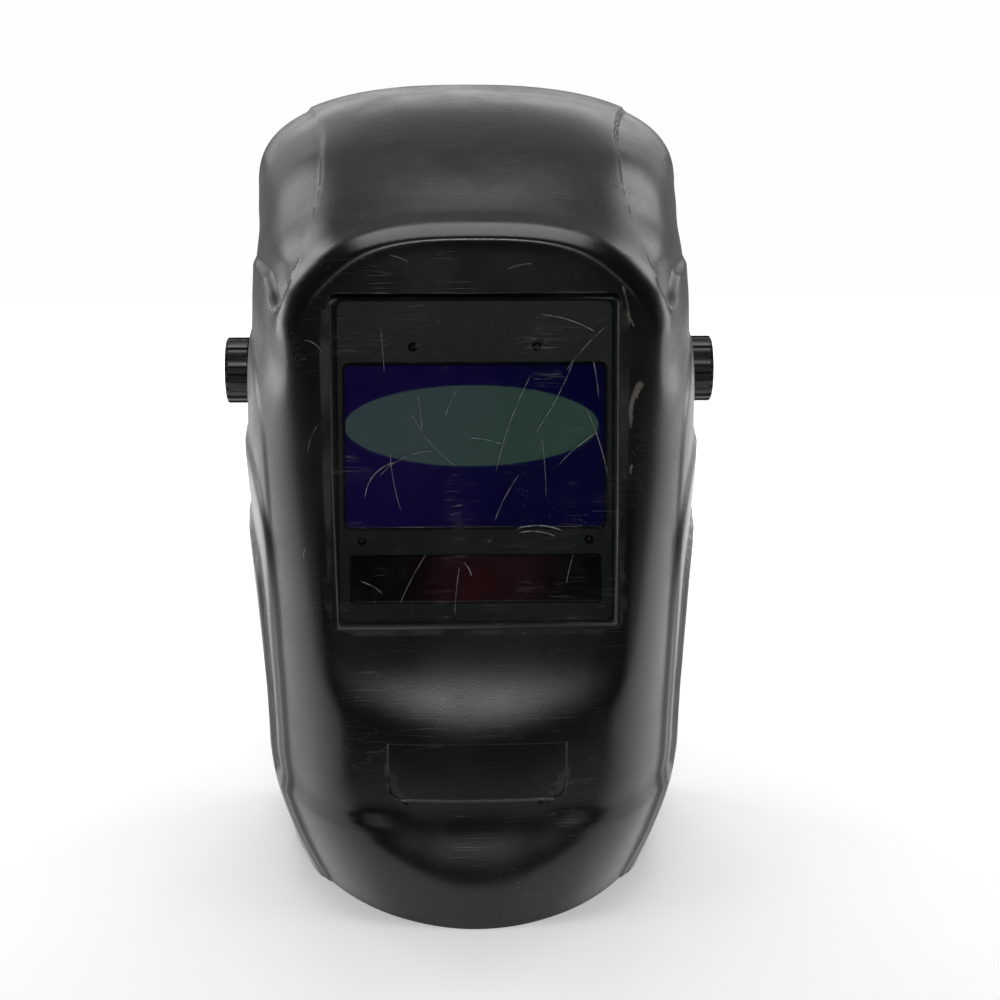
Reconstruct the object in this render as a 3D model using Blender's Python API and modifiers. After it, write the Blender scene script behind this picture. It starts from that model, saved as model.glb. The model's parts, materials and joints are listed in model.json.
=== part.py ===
"""Auto-darkening welding helmet standing on its lower rim.

The nylon shell carries a filter cartridge behind its window. The ratchet headgear hangs inside
on two bolts, and a fluted knob on each side clamps the pivot.

Sizes are in millimetres and angles in degrees. The numbers are taken from the pivot axis:
x to the wearer's left, y backwards, z up from the surface that the helmet stands on.
"""
import math

import bmesh
import bpy
import numpy as np
from mathutils import Matrix, Vector

MM = 0.001
GAP = 0.3                     # between pieces that touch

# Shell
WALL = 2.8
PIVOT_Z = 203.5               # height of the pivot axis
SEAT_X = 100.5                # outer face of the flat round the pivot
SEAT_RADIUS = 19
RIM_BELOW = 8                 # the loft runs on below the rim, and is trimmed level

# Sections of the shell from the crown's rear edge to the chin:
# front y, front z, rear y, rear z, half-width at the rear edge, squareness
SECTIONS = (
    (62, 334, 58, 288, 102.5, 2.45),
    (8, 327, 57, 277, 102, 2.45),
    (-48, 313, 55, 267, 101, 2.55),
    (-100, 291, 52, 256, 99.5, 2.7),
    (-140, 268, 47, 243, 100, 2.95),
    (-161, 236, 43, 222, 102, 3.1),
    (-167, 186, 38, 184, 102.5, 2.95),
    (-173, 120, 24, 120, 98.5, 2.9),
    (-176, 60, 6, 60, 92, 2.9),
    (-175, 0, -8, 0, 86.5, 1.95),
    (-175, -RIM_BELOW, -9, -RIM_BELOW, 86, 1.95),
)

# Window: a 4.5 x 5.25 inch cover lens in an opening 2 mm larger
INCH = 25.4
LENS_SIZE = (4.5 * INCH, 5.25 * INCH, 1.0)
OPENING = (LENS_SIZE[0] + 2, LENS_SIZE[1] + 2)
WINDOW_Y = -142               # centre of the opening, on the outer face
WINDOW_Z = 186
WINDOW_TILT = 7

# Cartridge, in the window's frame: x across, y up, z outwards from the shell's face
VIEW = (105, 66)
VIEW_Y = 6.5
SOLAR = (101, 19)
SOLAR_Y = -47.4
SENSORS = ((-25, 46.5), (25, 46.5), (-46, -31.7), (46, -31.7))
BEZEL_SIZE = (122, 141, 2.6)
BEZEL_FRONT = -4.2
CASE_SIZE = (116, 135)
CASE_FRONT = BEZEL_FRONT - BEZEL_SIZE[2] - GAP
CASE_BACK = -23
CASE_WALL = 1.7
BAY_FRONT = -7.4
BAY_BACK = -24.4
BAY_WALL = 3.6
TRAY_X = 38
CELL_RADIUS = 12.25           # a 2450 coin cell
CELL_THICKNESS = 5
HINGE_Y = 78.5                # retainer hinge, above the bay
HINGE_Z = -26.5
EAR_X = 20
EAR_RADIUS = 3.4
SHADE_AT = (0, -48)
SENSITIVITY_AT = (-40, 52.5)
DELAY_AT = (40, 52.5)
BUTTON_AT = (-14, 53)
SWITCH_AT = (10, 53)

# Headgear, in its own frame on the pivot axis: the band's plane slopes down to the nape
BAND_SLOPE = 19
BAND_Z = 20                   # middle of the band above the pivot
HEAD_HALF_WIDTH = 78
HEAD_HALF_LENGTH = 97
HEAD_Y = 15                   # centre of the head's outline
HEAD_SQUARENESS = 2.4
BAND_THICKNESS = 1.8
BAND_HEIGHT = 24
REAR_BAND_HEIGHT = 18
REAR_BAND_THICKNESS = 1.6
SWEATBAND_THICKNESS = 3.4
CROWN_Y = 20
CROWN_WIDTH = 18
CROWN_HALF_WIDTH = 79.9
CROWN_END_Z = 13              # the strap runs straight up beside the band, then arches over
CROWN_BASE_Z = 38
CROWN_RISE = 60
CROWN_THICKNESS = 1.4

# Ratchet at the nape
HOUSING_Y = (104, 123)
HOUSING_SIZE = (76, 34)
HOUSING_WALL = 1.8
PINION_TEETH = 12
MODULE = 1.0
PITCH_RADIUS = PINION_TEETH * MODULE / 2
RACK_Y = (116, 119.4)
RATCHET_KNOB = (19, 14.5)     # radius, length

# Pivot stack on each side, distances from the helmet's middle plane
ARM_X = (81.7, 84.2)
BOSS_X = 91
STOP_X = (91.3, 94.7)
INNER_WASHER_X = (95.0, 97.3)
OUTER_WASHER_X = (SEAT_X + GAP, SEAT_X + 1.7)
KNOB_X = (SEAT_X + 2.0, 113.2)
KNOB_RADIUS = 15.5
BOLT_RADIUS = 3.0
BOLT_HOLE = 3.4

KINDS = {                     # colour, roughness, metallic
    "black nylon": ((0.018, 0.018, 0.019), 0.40, 0),
    "knob plastic": ((0.010, 0.010, 0.011), 0.30, 0),
    "case plastic": ((0.022, 0.022, 0.024), 0.50, 0),
    "strap plastic": ((0.030, 0.030, 0.032), 0.45, 0),
    "clear polycarbonate": ((0.55, 0.60, 0.62), 0.12, 0),
    "filter glass": ((0.030, 0.035, 0.180), 0.08, 0),
    "solar cell": ((0.060, 0.010, 0.016), 0.25, 0),
    "circuit board": ((0.015, 0.110, 0.050), 0.45, 0),
    "sensor lens": ((0.010, 0.010, 0.012), 0.15, 0),
    "steel": ((0.520, 0.520, 0.530), 0.32, 1),
    "brass": ((0.650, 0.450, 0.180), 0.35, 1),
    "black foam": ((0.035, 0.035, 0.037), 0.90, 0),
    "grey plastic": ((0.180, 0.180, 0.190), 0.45, 0),
}


# ---- Objects

def clear():
    for thing in list(bpy.data.objects):
        bpy.data.objects.remove(thing, do_unlink=True)


def collection(name):
    group = bpy.data.collections.new(name)
    bpy.context.scene.collection.children.link(group)
    return group


clear()
PARTS = collection("welding helmet")
CUTTERS = collection("cutters")


def empty(name, parent, place, turn_x=0):
    """A frame that pieces hang on, placed in mm and turned about x in degrees."""
    frame = bpy.data.objects.new(name, None)
    PARTS.objects.link(frame)
    frame.parent = parent
    frame.location = Vector(place) * MM
    frame.rotation_euler.x = math.radians(turn_x)
    return frame


def piece(name, kind, bm, parent, place=(0, 0, 0), turn=(0, 0, 0)):
    """A named sub-part from a bmesh in mm, placed in its parent's frame."""
    mesh = bpy.data.meshes.new(name)
    bmesh.ops.scale(bm, vec=(MM, MM, MM), verts=bm.verts)
    bm.to_mesh(mesh)
    bm.free()
    part = bpy.data.objects.new(name, mesh)
    part.parent = parent
    part.location = Vector(place) * MM
    part.rotation_euler = [math.radians(a) for a in turn]
    if kind is None:
        CUTTERS.objects.link(part)
        part.hide_render = True
        part.display_type = "WIRE"
        return part
    PARTS.objects.link(part)
    colour, roughness, metallic = KINDS[kind]
    material = bpy.data.materials.new(name + " " + kind)
    material.use_nodes = True
    shader = material.node_tree.nodes["Principled BSDF"]
    shader.inputs["Base Color"].default_value = (*colour, 1)
    shader.inputs["Roughness"].default_value = roughness
    shader.inputs["Metallic"].default_value = metallic
    mesh.materials.append(material)
    mesh.shade_smooth()
    mesh.set_sharp_from_angle(angle=math.radians(35))
    return part


def boolean(part, other, operation="DIFFERENCE"):
    modifier = part.modifiers.new(operation.title(), "BOOLEAN")
    modifier.operation = operation
    modifier.solver = "EXACT"
    modifier.object = other


def cut(part, bm, place=(0, 0, 0), turn=(0, 0, 0)):
    """Cut a shape, given in the frame of the part's parent, out of the part."""
    boolean(part, piece(part.name + " cutter", None, bm, part.parent, place, turn))


def add(part, bm, place=(0, 0, 0), turn=(0, 0, 0)):
    """Join a shape to the part."""
    boolean(part, piece(part.name + " addition", None, bm, part.parent, place, turn), "UNION")


def solidify(part, thickness, offset):
    modifier = part.modifiers.new("Wall", "SOLIDIFY")
    modifier.thickness = thickness * MM
    modifier.offset = offset


# ---- Shapes, all as bmesh in mm

def block(size, centre=(0, 0, 0), corner=0, axis=2, segments=3):
    """A box whose four edges along one axis can be rounded."""
    bm = bmesh.new()
    bmesh.ops.create_cube(bm, size=1)
    bmesh.ops.scale(bm, vec=size, verts=bm.verts)
    if corner:
        along = [e for e in bm.edges if abs((e.verts[0].co - e.verts[1].co)[axis]) > 0.5 * size[axis]]
        bmesh.ops.bevel(bm, geom=along, offset=corner, segments=segments, profile=0.5, affect="EDGES")
    bmesh.ops.translate(bm, vec=centre, verts=bm.verts)
    return bm


def span(low, high, corner=0, axis=2):
    """A box from its lowest corner to its highest."""
    size = [h - l for l, h in zip(low, high)]
    return block(size, [(h + l) / 2 for l, h in zip(low, high)], corner, axis)


def rod(radius, low, high, segments=24, at=(0, 0)):
    """A cylinder along z."""
    bm = bmesh.new()
    bmesh.ops.create_cone(bm, cap_ends=True, segments=segments, radius1=radius, radius2=radius,
                          depth=high - low)
    bmesh.ops.translate(bm, vec=(at[0], at[1], (low + high) / 2), verts=bm.verts)
    return bm


def fluted(radius, low, high, flutes, depth):
    """A cylinder along z with flutes round its side: every third corner is drawn in."""
    bm = rod(radius, low, high, flutes * 3)
    for vert in bm.verts:
        turn = math.atan2(vert.co.y, vert.co.x) / (2 * math.pi) * flutes * 3
        if round(turn) % 3 == 0:
            vert.co.xy *= (radius - depth) / radius
    return bm


def joined(*shapes):
    """Separate shapes in one mesh, for a cutter."""
    bm = bmesh.new()
    for shape in shapes:
        mesh = bpy.data.meshes.new("part of a cutter")
        shape.to_mesh(mesh)
        shape.free()
        bm.from_mesh(mesh)
        bpy.data.meshes.remove(mesh)
    return bm


def turned(name, kind, profile, parent, place, turn, steps=20):
    """A piece turned about its own z from (radius, z) points, which run from the top down."""
    bm = bmesh.new()
    chain = [bm.verts.new((r, 0, z)) for r, z in profile]
    for pair in zip(chain, chain[1:]):
        bm.edges.new(pair)
    part = piece(name, kind, bm, parent, place, turn)
    screw = part.modifiers.new("Turn", "SCREW")
    screw.steps = steps
    screw.render_steps = steps
    screw.use_merge_vertices = True
    screw.merge_threshold = 0.00005
    screw.use_smooth_shade = False
    return part


def ribbon(points, rise, hub):
    """An open strip: a chain of points swept by the vector rise, facing away from hub."""
    bm = bmesh.new()
    chain = [bm.verts.new(point) for point in points]
    edges = [bm.edges.new(pair) for pair in zip(chain, chain[1:])]
    swept = bmesh.ops.extrude_edge_only(bm, edges=edges)["geom"]
    bmesh.ops.translate(bm, vec=rise, verts=[v for v in swept if isinstance(v, bmesh.types.BMVert)])
    bm.normal_update()
    bm.faces.ensure_lookup_table()
    face = bm.faces[len(bm.faces) // 2]
    if face.normal.dot(face.calc_center_median() - Vector(hub)) < 0:
        bmesh.ops.reverse_faces(bm, faces=bm.faces)
    return bm


def ring(radius, hole, low, high):
    """Profile of a washer, from its outer top edge round to where it started."""
    return ((hole, high), (radius, high), (radius, low), (hole, low), (hole, high))


# ---- Shell surface

def smooth(t):
    t = np.clip(t, 0, 1)
    return t * t * (3 - 2 * t)


def through(xs, ys, x):
    """Smooth curve through points that never overshoots them."""
    xs = np.asarray(xs, float)
    ys = np.asarray(ys, float)
    slope = np.diff(ys) / np.diff(xs)
    tangent = np.zeros_like(ys)
    same = slope[:-1] * slope[1:]
    total = np.where(same > 0, slope[:-1] + slope[1:], 1)
    tangent[1:-1] = np.where(same > 0, 2 * same / total, 0)
    tangent[0] = slope[0]
    tangent[-1] = slope[-1]
    x = np.clip(x, xs[0], xs[-1])
    i = np.clip(np.searchsorted(xs, x) - 1, 0, len(xs) - 2)
    width = xs[i + 1] - xs[i]
    t = (x - xs[i]) / width
    ends = (1 + 2 * t) * (1 - t) ** 2 * ys[i] + t * t * (3 - 2 * t) * ys[i + 1]
    return ends + t * (1 - t) ** 2 * width * tangent[i] - t * t * (1 - t) * width * tangent[i + 1]


def soft_max(a, b, k):
    return (a + b + np.sqrt((a - b) ** 2 + k * k)) / 2


def soft_min(a, b, k):
    return (a + b - np.sqrt((a - b) ** 2 + k * k)) / 2


def front_y(x, z):
    """The shell's front: window panel, muzzle sloping out below it, and the flare of the chin."""
    bow = np.clip(np.abs(x) - 60, 0, None) ** 2 / 60
    panel = WINDOW_Y + (z - WINDOW_Z) * math.tan(math.radians(WINDOW_TILT)) + bow
    round_muzzle = -166 + x * x / 420
    ramp = -152 - (115 - z) * 0.36
    muzzle = soft_max(round_muzzle, ramp, 4)
    chin = -165 - (45 - z) * 0.42 + x * x / 420
    return soft_min(soft_min(panel, muzzle, 1.5), chin, 1.5)


def egg(columns, rows):
    """Grid of points on the plain shell, (rows, columns, 3), from the crown down to the chin."""
    sections = np.array(SECTIONS, float)
    down = np.linspace(0, 1, rows)
    places = np.linspace(0, 1, len(sections))
    table = [through(places, sections[:, k], down) for k in range(sections.shape[1])]
    across = np.linspace(-1, 1, columns)
    across = np.sign(across) * np.abs(across) ** 1.25
    angle = np.linspace(0, math.pi / 2, 200)
    grid = np.zeros((rows, columns, 3))
    for row, (front, top, rear, edge, half, square) in enumerate(zip(*table)):
        aside = half * np.sin(angle) ** (2 / square)
        ahead = np.cos(angle) ** (2 / square)
        line = np.stack([aside, rear + (front - rear) * ahead, edge + (top - edge) * ahead], -1)
        length = np.concatenate([[0], np.cumsum(np.linalg.norm(np.diff(line, axis=0), axis=1))])
        for k in range(3):
            grid[row, :, k] = np.interp(np.abs(across) * length[-1], length, line[:, k])
        grid[row, :, 0] *= np.sign(across)
    return grid


def outward(grid):
    normal = np.cross(np.gradient(grid, axis=0), np.gradient(grid, axis=1))
    normal /= np.linalg.norm(normal, axis=-1, keepdims=True)
    normal[:, 0] = normal[:, 1]
    normal[:, -1] = normal[:, -2]
    return normal


def temple_scoops(x, y, z):
    """1 in the hollow at each temple, between the crown panel and the cheek."""
    crown_line = through((-130, -118, -106, -88, -61, -28, 30, 62),
                         (82, 76, 71.5, 68, 65.7, 66, 71.5, 77), y)
    cheek_line = through((-130, -115, -98, -82, -50, 0, 60), (243, 245, 252, 257, 258.5, 255, 246), y)
    beside = smooth((x - crown_line) / 10 + 0.5)
    above = smooth((z - cheek_line) / 12 + 0.5)
    return beside * above * smooth((y + 121) / 14)


def shell_surface(columns, rows):
    grid = egg(columns, rows)
    grid[..., 1] = soft_max(grid[..., 1], front_y(grid[..., 0], grid[..., 2]), 3.5)
    scooped = temple_scoops(np.abs(grid[..., 0]), grid[..., 1], grid[..., 2])
    grid -= outward(grid) * (3.2 * scooped)[..., None]
    from_pivot = np.hypot(grid[..., 1], grid[..., 2] - PIVOT_Z)
    flat = (1 - smooth((from_pivot - SEAT_RADIUS) / 12)) * (np.abs(grid[..., 0]) > 60)
    grid[..., 0] += (np.sign(grid[..., 0]) * SEAT_X - grid[..., 0]) * flat
    return grid


def make_shell(parent, window):
    grid = shell_surface(41, 35)
    rows, columns = grid.shape[:2]
    bm = bmesh.new()
    verts = [bm.verts.new(point) for point in grid.reshape(-1, 3)]
    for row in range(rows - 1):
        for column in range(columns - 1):
            i = row * columns + column
            bm.faces.new((verts[i], verts[i + columns], verts[i + columns + 1], verts[i + 1]))
    shell = piece("shell", "black nylon", bm, parent)
    solidify(shell, WALL, -1)
    cut(shell, span((-150, -230, -30), (150, 60, 0)))
    cut(shell, rod(BOLT_HOLE + 0.8, -130, 130), (0, 0, PIVOT_Z), (0, 90, 0))
    opening = piece("window cutter", None, block((*OPENING, 30), corner=2.5), window)
    boolean(shell, opening)
    return grid


# ---- Window and filter cartridge

def plate(name, kind, size, front, parent, y=0, corner=2):
    """A flat plate in the window's frame, its front face at z = front."""
    return piece(name, kind, block(size, (0, y, front - size[2] / 2), corner), parent)


def make_cartridge(window):
    plate("cover_lens", "clear polycarbonate", LENS_SIZE, BEZEL_FRONT + GAP + LENS_SIZE[2], window)

    bezel = plate("cartridge_bezel", "case plastic", BEZEL_SIZE, BEZEL_FRONT, window, corner=10)
    holes = [block((*VIEW, 20), (0, VIEW_Y, -6), 2), block((*SOLAR, 20), (0, SOLAR_Y, -6), 1)]
    holes += [rod(1.6, -16, 4, 12, at) for at in SENSORS]
    cut(bezel, joined(*holes))

    plate("filter_glass", "filter glass", (VIEW[0] + 3, VIEW[1] + 3, 3.5), CASE_FRONT, window, VIEW_Y, 1)
    plate("solar_panel", "solar cell", (SOLAR[0] + 2, SOLAR[1] + 2, 1.2), CASE_FRONT, window, SOLAR_Y, 1)
    for number, (x, y) in enumerate(SENSORS, 1):
        piece("light_sensor_%d" % number, "sensor lens", rod(1.3, -10.2, -4.5, 12), window, (x, y, 0))

    board = plate("circuit_board", "circuit board", (112, 131, 1.4), -10.6, window, corner=2)
    cut(board, block((VIEW[0] + 1, VIEW[1] + 1, 10), (0, VIEW_Y, -11), 2))

    depth = CASE_FRONT - CASE_BACK
    case = plate("cartridge_case", "case plastic", (*CASE_SIZE, depth), CASE_FRONT, window, corner=3)
    room = (CASE_SIZE[0] - 2 * CASE_WALL, CASE_SIZE[1] - 2 * CASE_WALL, depth)
    cut(case, block(room, (0, 0, CASE_FRONT - depth / 2 + 2), 1.5))
    holes = [block((VIEW[0] - 1, VIEW[1] - 1, 20), (0, VIEW_Y, CASE_BACK), 2)]
    holes += [rod(2.9, -30, -15, 16, at) for at in (SHADE_AT, SENSITIVITY_AT, DELAY_AT)]
    holes += [rod(3.6, -30, -15, 16, BUTTON_AT)]
    holes += [block((13, 3, 20), (SWITCH_AT[0] + 2, SWITCH_AT[1], CASE_BACK))]
    holes += [block((29, 10, 8), (side * TRAY_X, -CASE_SIZE[1] / 2, -16.3)) for side in (-1, 1)]
    cut(case, joined(*holes))

    plate("inner_cover_lens", "clear polycarbonate", (106, 69, 1), CASE_BACK - GAP, window, VIEW_Y, 1)

    for side, label in ((-1, "right"), (1, "left")):
        tray = piece("battery_tray_" + label, "grey plastic",
                     block((28, 34, 7), (0, 17, 0), 1), window, (side * TRAY_X, -70.2, -16.3))
        cut(tray, rod(CELL_RADIUS + GAP, -2.8, 10, 24), (side * TRAY_X, -52.5, -16.3))
        piece("coin_cell_" + label, "steel", rod(CELL_RADIUS, -2.5, -2.5 + CELL_THICKNESS, 24), window,
              (side * TRAY_X, -52.5, -16.3))


def dial(name, radius, length, at, window):
    """A dial on the back of the cartridge, turned about its own z, which points to the wearer."""
    bm = fluted(radius, GAP, length, 12, 0.5)
    part = piece(name, "knob plastic", bm, window, (*at, CASE_BACK), (180, 0, 0))
    add(part, rod(2.4, -6, 1, 16), (*at, CASE_BACK), (180, 0, 0))
    cut(part, block((1.2, radius, 2), (0, radius / 2, length)), (*at, CASE_BACK), (180, 0, 0))


def make_controls(window):
    dial("shade_dial", 10, 7.5, SHADE_AT, window)
    dial("sensitivity_dial", 6.5, 6, SENSITIVITY_AT, window)
    dial("delay_dial", 6.5, 6, DELAY_AT, window)
    piece("test_button", "grey plastic", rod(3.2, -4, 2.2, 16), window, (*BUTTON_AT, CASE_BACK),
          (180, 0, 0))
    switch = piece("grind_switch", "grey plastic", block((7, 5, 2.6), (0, 0, -1.6), 0.6), window,
                   (*SWITCH_AT, CASE_BACK))
    add(switch, block((3, 2, 5), (0, 0, 0.6)), (*SWITCH_AT, CASE_BACK))


def make_bay(window):
    """The frame behind the opening that the cartridge sits in, and the retainer hinged above it."""
    room = (BEZEL_SIZE[0] + 2 * GAP, BEZEL_SIZE[1] + 2 * GAP)
    outer = (room[0] + 2 * BAY_WALL, room[1] + 2 * BAY_WALL)
    depth = BAY_FRONT - BAY_BACK
    bay = plate("cartridge_bay", "black nylon", (*outer, depth), BAY_FRONT, window, corner=8)
    half = outer[1] / 2
    for side in (-1, 1):
        near = side * EAR_X - 2
        far = side * EAR_X + 2
        add(bay, span((near, half + GAP, HINGE_Z), (far, HINGE_Y + EAR_RADIUS, BAY_BACK + 6)))
        add(bay, span((near, half - 1, BAY_BACK + 0.5), (far, HINGE_Y, BAY_BACK + 5)))
        add(bay, rod(EAR_RADIUS, near, far, 16), (0, HINGE_Y, HINGE_Z), (0, 90, 0))
    cut(bay, block((*room, 60), (0, 0, BAY_FRONT), 4))
    cut(bay, rod(1.8, -40, 40, 12), (0, HINGE_Y, HINGE_Z), (0, 90, 0))
    for side in (-1, 1):
        cut(bay, block((31, 20, 22), (side * TRAY_X, -half, -23)))

    back = BAY_BACK - GAP
    thick = 3
    knuckle = EAR_X - 2 - 2 * GAP
    rails = block((*outer, thick), (0, -HINGE_Y, back - thick / 2 - HINGE_Z), 6)
    frame = piece("retainer_frame", "black nylon", rails, window, (0, HINGE_Y, HINGE_Z))
    cut(frame, block((108, 128, 20), (0, 0, back), 5))
    add(frame, span((-12, -half - 6, back - thick), (12, -half + 1, back)))
    add(frame, span((-knuckle, half - 3, back - thick), (knuckle, HINGE_Y, back)))
    add(frame, rod(EAR_RADIUS - 0.2, -knuckle, knuckle, 16), (0, HINGE_Y, HINGE_Z), (0, 90, 0))
    cut(frame, rod(1.8, -40, 40, 12), (0, HINGE_Y, HINGE_Z), (0, 90, 0))
    piece("hinge_pin", "steel", rod(1.5, -24, 24, 12), window, (0, HINGE_Y, HINGE_Z), (0, 90, 0))


# ---- Headgear

def head_outline(start, stop, steps, offset=0):
    """Points round the head at the band's level; 0 is the brow and 180 the nape, on the +x side."""
    points = []
    for angle in np.radians(np.linspace(start, stop, steps + 1)):
        power = 2 / HEAD_SQUARENESS
        x = HEAD_HALF_WIDTH * math.copysign(abs(math.sin(angle)) ** power, math.sin(angle))
        y = HEAD_Y - HEAD_HALF_LENGTH * math.copysign(abs(math.cos(angle)) ** power, math.cos(angle))
        points.append((x, y))
    points = np.array(points)
    along = np.gradient(points, axis=0)
    across = np.stack([along[:, 1], -along[:, 0]], -1)
    across /= np.linalg.norm(across, axis=1, keepdims=True)
    middle = len(points) // 2
    if np.dot(across[middle], points[middle] - (0, HEAD_Y)) < 0:
        across = -across
    return points + across * offset


def band(name, kind, path, height, thickness, gear, inwards=False):
    chain = [(x, y, BAND_Z - height / 2) for x, y in path]
    part = piece(name, kind, ribbon(chain, (0, 0, height), (0, HEAD_Y, BAND_Z)), gear)
    solidify(part, thickness, -1 if inwards else 1)
    return part


def crown_arc(side, steps):
    """Half of the crown strap, from the band up over the head and past the middle."""
    points = [(side * CROWN_HALF_WIDTH, CROWN_END_Z)]
    for t in np.linspace(0, 1, steps + 1):
        angle = math.radians(104) * t
        lift = 0 if side < 0 else (CROWN_THICKNESS + GAP) * float(smooth(t * 1.7 - 0.2))
        x = side * (CROWN_HALF_WIDTH + lift) * math.cos(angle)
        points.append((x, CROWN_BASE_Z + (CROWN_RISE + lift) * math.sin(angle)))
    return points


def make_headgear(gear):
    band("headband", "strap plastic", head_outline(-112, 112, 40), BAND_HEIGHT, BAND_THICKNESS, gear)
    band("sweatband", "black foam", head_outline(-62, 62, 24, -GAP), BAND_HEIGHT + 6, SWEATBAND_THICKNESS,
         gear, inwards=True)
    for side, label in ((-1, "right"), (1, "left")):
        path = head_outline(side * 104, side * 169, 16, BAND_THICKNESS + GAP)
        band("rear_band_" + label, "strap plastic", path, REAR_BAND_HEIGHT, REAR_BAND_THICKNESS, gear)
        chain = [(x, CROWN_Y - CROWN_WIDTH / 2, z) for x, z in crown_arc(side, 18)]
        strap = piece("crown_strap_" + label, "strap plastic",
                      ribbon(chain, (0, CROWN_WIDTH, 0), (0, CROWN_Y, CROWN_BASE_Z)), gear)
        solidify(strap, CROWN_THICKNESS, 1)
        cut(strap, rod(2.3, 80, 120, 16), (0, CROWN_Y, 0))
    top = CROWN_BASE_Z + CROWN_RISE
    turned("crown_peg", "grey plastic",
           ((0, top + 6), (4.5, top + 6), (4.5, top + 3.8), (2, top + 3.8), (2, top - 2), (0, top - 2)),
           gear, (0, CROWN_Y, 0), (0, 0, 0), 16)


def make_pivots(gear, centre):
    """The bolts, arms, washers and knobs; each piece's own z points out of the helmet."""
    for side, label in ((-1, "right"), (1, "left")):
        turn = (0, 90 * side, 0)
        upright = -side                     # the piece's own x that points up
        arm = piece("pivot_arm_" + label, "strap plastic",
                    span((min(-12 * upright, 28 * upright), -22, ARM_X[0]),
                         (max(-12 * upright, 28 * upright), 22, ARM_X[1]), 6), gear, (0, 0, 0), turn)
        add(arm, rod(13, ARM_X[0] + 1, BOSS_X, 32), (0, 0, 0), turn)
        cut(arm, rod(BOLT_HOLE, 70, 100), (0, 0, 0), turn)
        turned("pivot_bolt_" + label, "steel",
               ((0, 110), (BOLT_RADIUS, 110), (BOLT_RADIUS, ARM_X[0] - GAP), (7, ARM_X[0] - GAP),
                (7, ARM_X[0] - 3.1), (0, ARM_X[0] - 3.1)), gear, (0, 0, 0), turn)
        turned("inner_washer_" + label, "grey plastic", ring(14, BOLT_HOLE, *INNER_WASHER_X), centre,
               (0, 0, 0), turn)
        turned("outer_washer_" + label, "grey plastic", ring(11, BOLT_HOLE, *OUTER_WASHER_X), centre,
               (0, 0, 0), turn)
        knob = piece("tension_knob_" + label, "knob plastic", fluted(KNOB_RADIUS, *KNOB_X, 20, 1.1), centre,
                     (0, 0, 0), turn)
        cut(knob, rod(4.6, KNOB_X[0] - 5, KNOB_X[1] - 2.2), (0, 0, 0), turn)
        insert = ring(4.3, BOLT_RADIUS + 0.06, KNOB_X[0] + 0.4, KNOB_X[1] - 3.4)
        turned("knob_insert_" + label, "brass", insert, centre, (0, 0, 0), turn)

    turn = (0, -90, 0)
    turned("pivot_spacer_left", "grey plastic", ring(14, BOLT_HOLE, *STOP_X), gear, (0, 0, 0),
           (0, 90, 0))
    lever = piece("angle_stop_lever", "grey plastic", rod(16, *STOP_X, 32), gear, (0, 0, 0), turn)
    add(lever, span((-31, -3.5, STOP_X[0]), (-12, 3.5, STOP_X[1]), 2), (0, 0, 0), turn)
    cut(lever, rod(BOLT_HOLE, 80, 100), (0, 0, 0), turn)
    piece("stop_peg", "black nylon", rod(2.4, STOP_X[0], INNER_WASHER_X[1], 12), centre, (0, -20, -20), turn)


def rack_teeth(first, count, low, high):
    """Profile points of a rack's teeth along x, pitch by pitch, between root and tip heights."""
    pitch = math.pi * MODULE
    points = []
    for number in range(count):
        x = first + number * pitch
        points += [(x - 0.9, low), (x - 0.35, high), (x + 0.35, high), (x + 0.9, low)]
    return points


def rack(name, facing, gear):
    """A toothed bar above (facing -1) or below (facing 1) the pinion."""
    root = PITCH_RADIUS + 1.2
    tip = PITCH_RADIUS - 0.8
    back = root + 4
    first = -7.5 * math.pi * MODULE
    teeth = rack_teeth(first, 12, root, tip)
    start = first - 2
    end = teeth[-1][0] + 1
    outline = [(start, root)] + teeth + [(end, root), (end, back), (start, back)]
    bm = bmesh.new()
    verts = [bm.verts.new((x * -facing, RACK_Y[0], BAND_Z - z * facing)) for x, z in outline]
    face = bm.faces.new(verts)
    grown = bmesh.ops.extrude_face_region(bm, geom=[face])["geom"]
    corners = [v for v in grown if isinstance(v, bmesh.types.BMVert)]
    bmesh.ops.translate(bm, vec=(0, RACK_Y[1] - RACK_Y[0], 0), verts=corners)
    bmesh.ops.recalc_face_normals(bm, faces=bm.faces)
    piece(name, "grey plastic", bm, gear)


def pinion(low, high):
    """A gear along z: four corners to a tooth, two at the root and two at the tip."""
    bm = rod(PITCH_RADIUS + 0.8, low, high, PINION_TEETH * 4)
    bmesh.ops.rotate(bm, matrix=Matrix.Rotation(math.pi / (PINION_TEETH * 4), 3, "Z"), verts=bm.verts)
    root = PITCH_RADIUS - 1.4
    for vert in bm.verts:
        phase = (math.atan2(vert.co.y, vert.co.x) / (2 * math.pi) * PINION_TEETH) % 1
        if 0.2 < phase < 0.8:
            vert.co.xy *= root / (PITCH_RADIUS + 0.8)
    return bm


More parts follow.
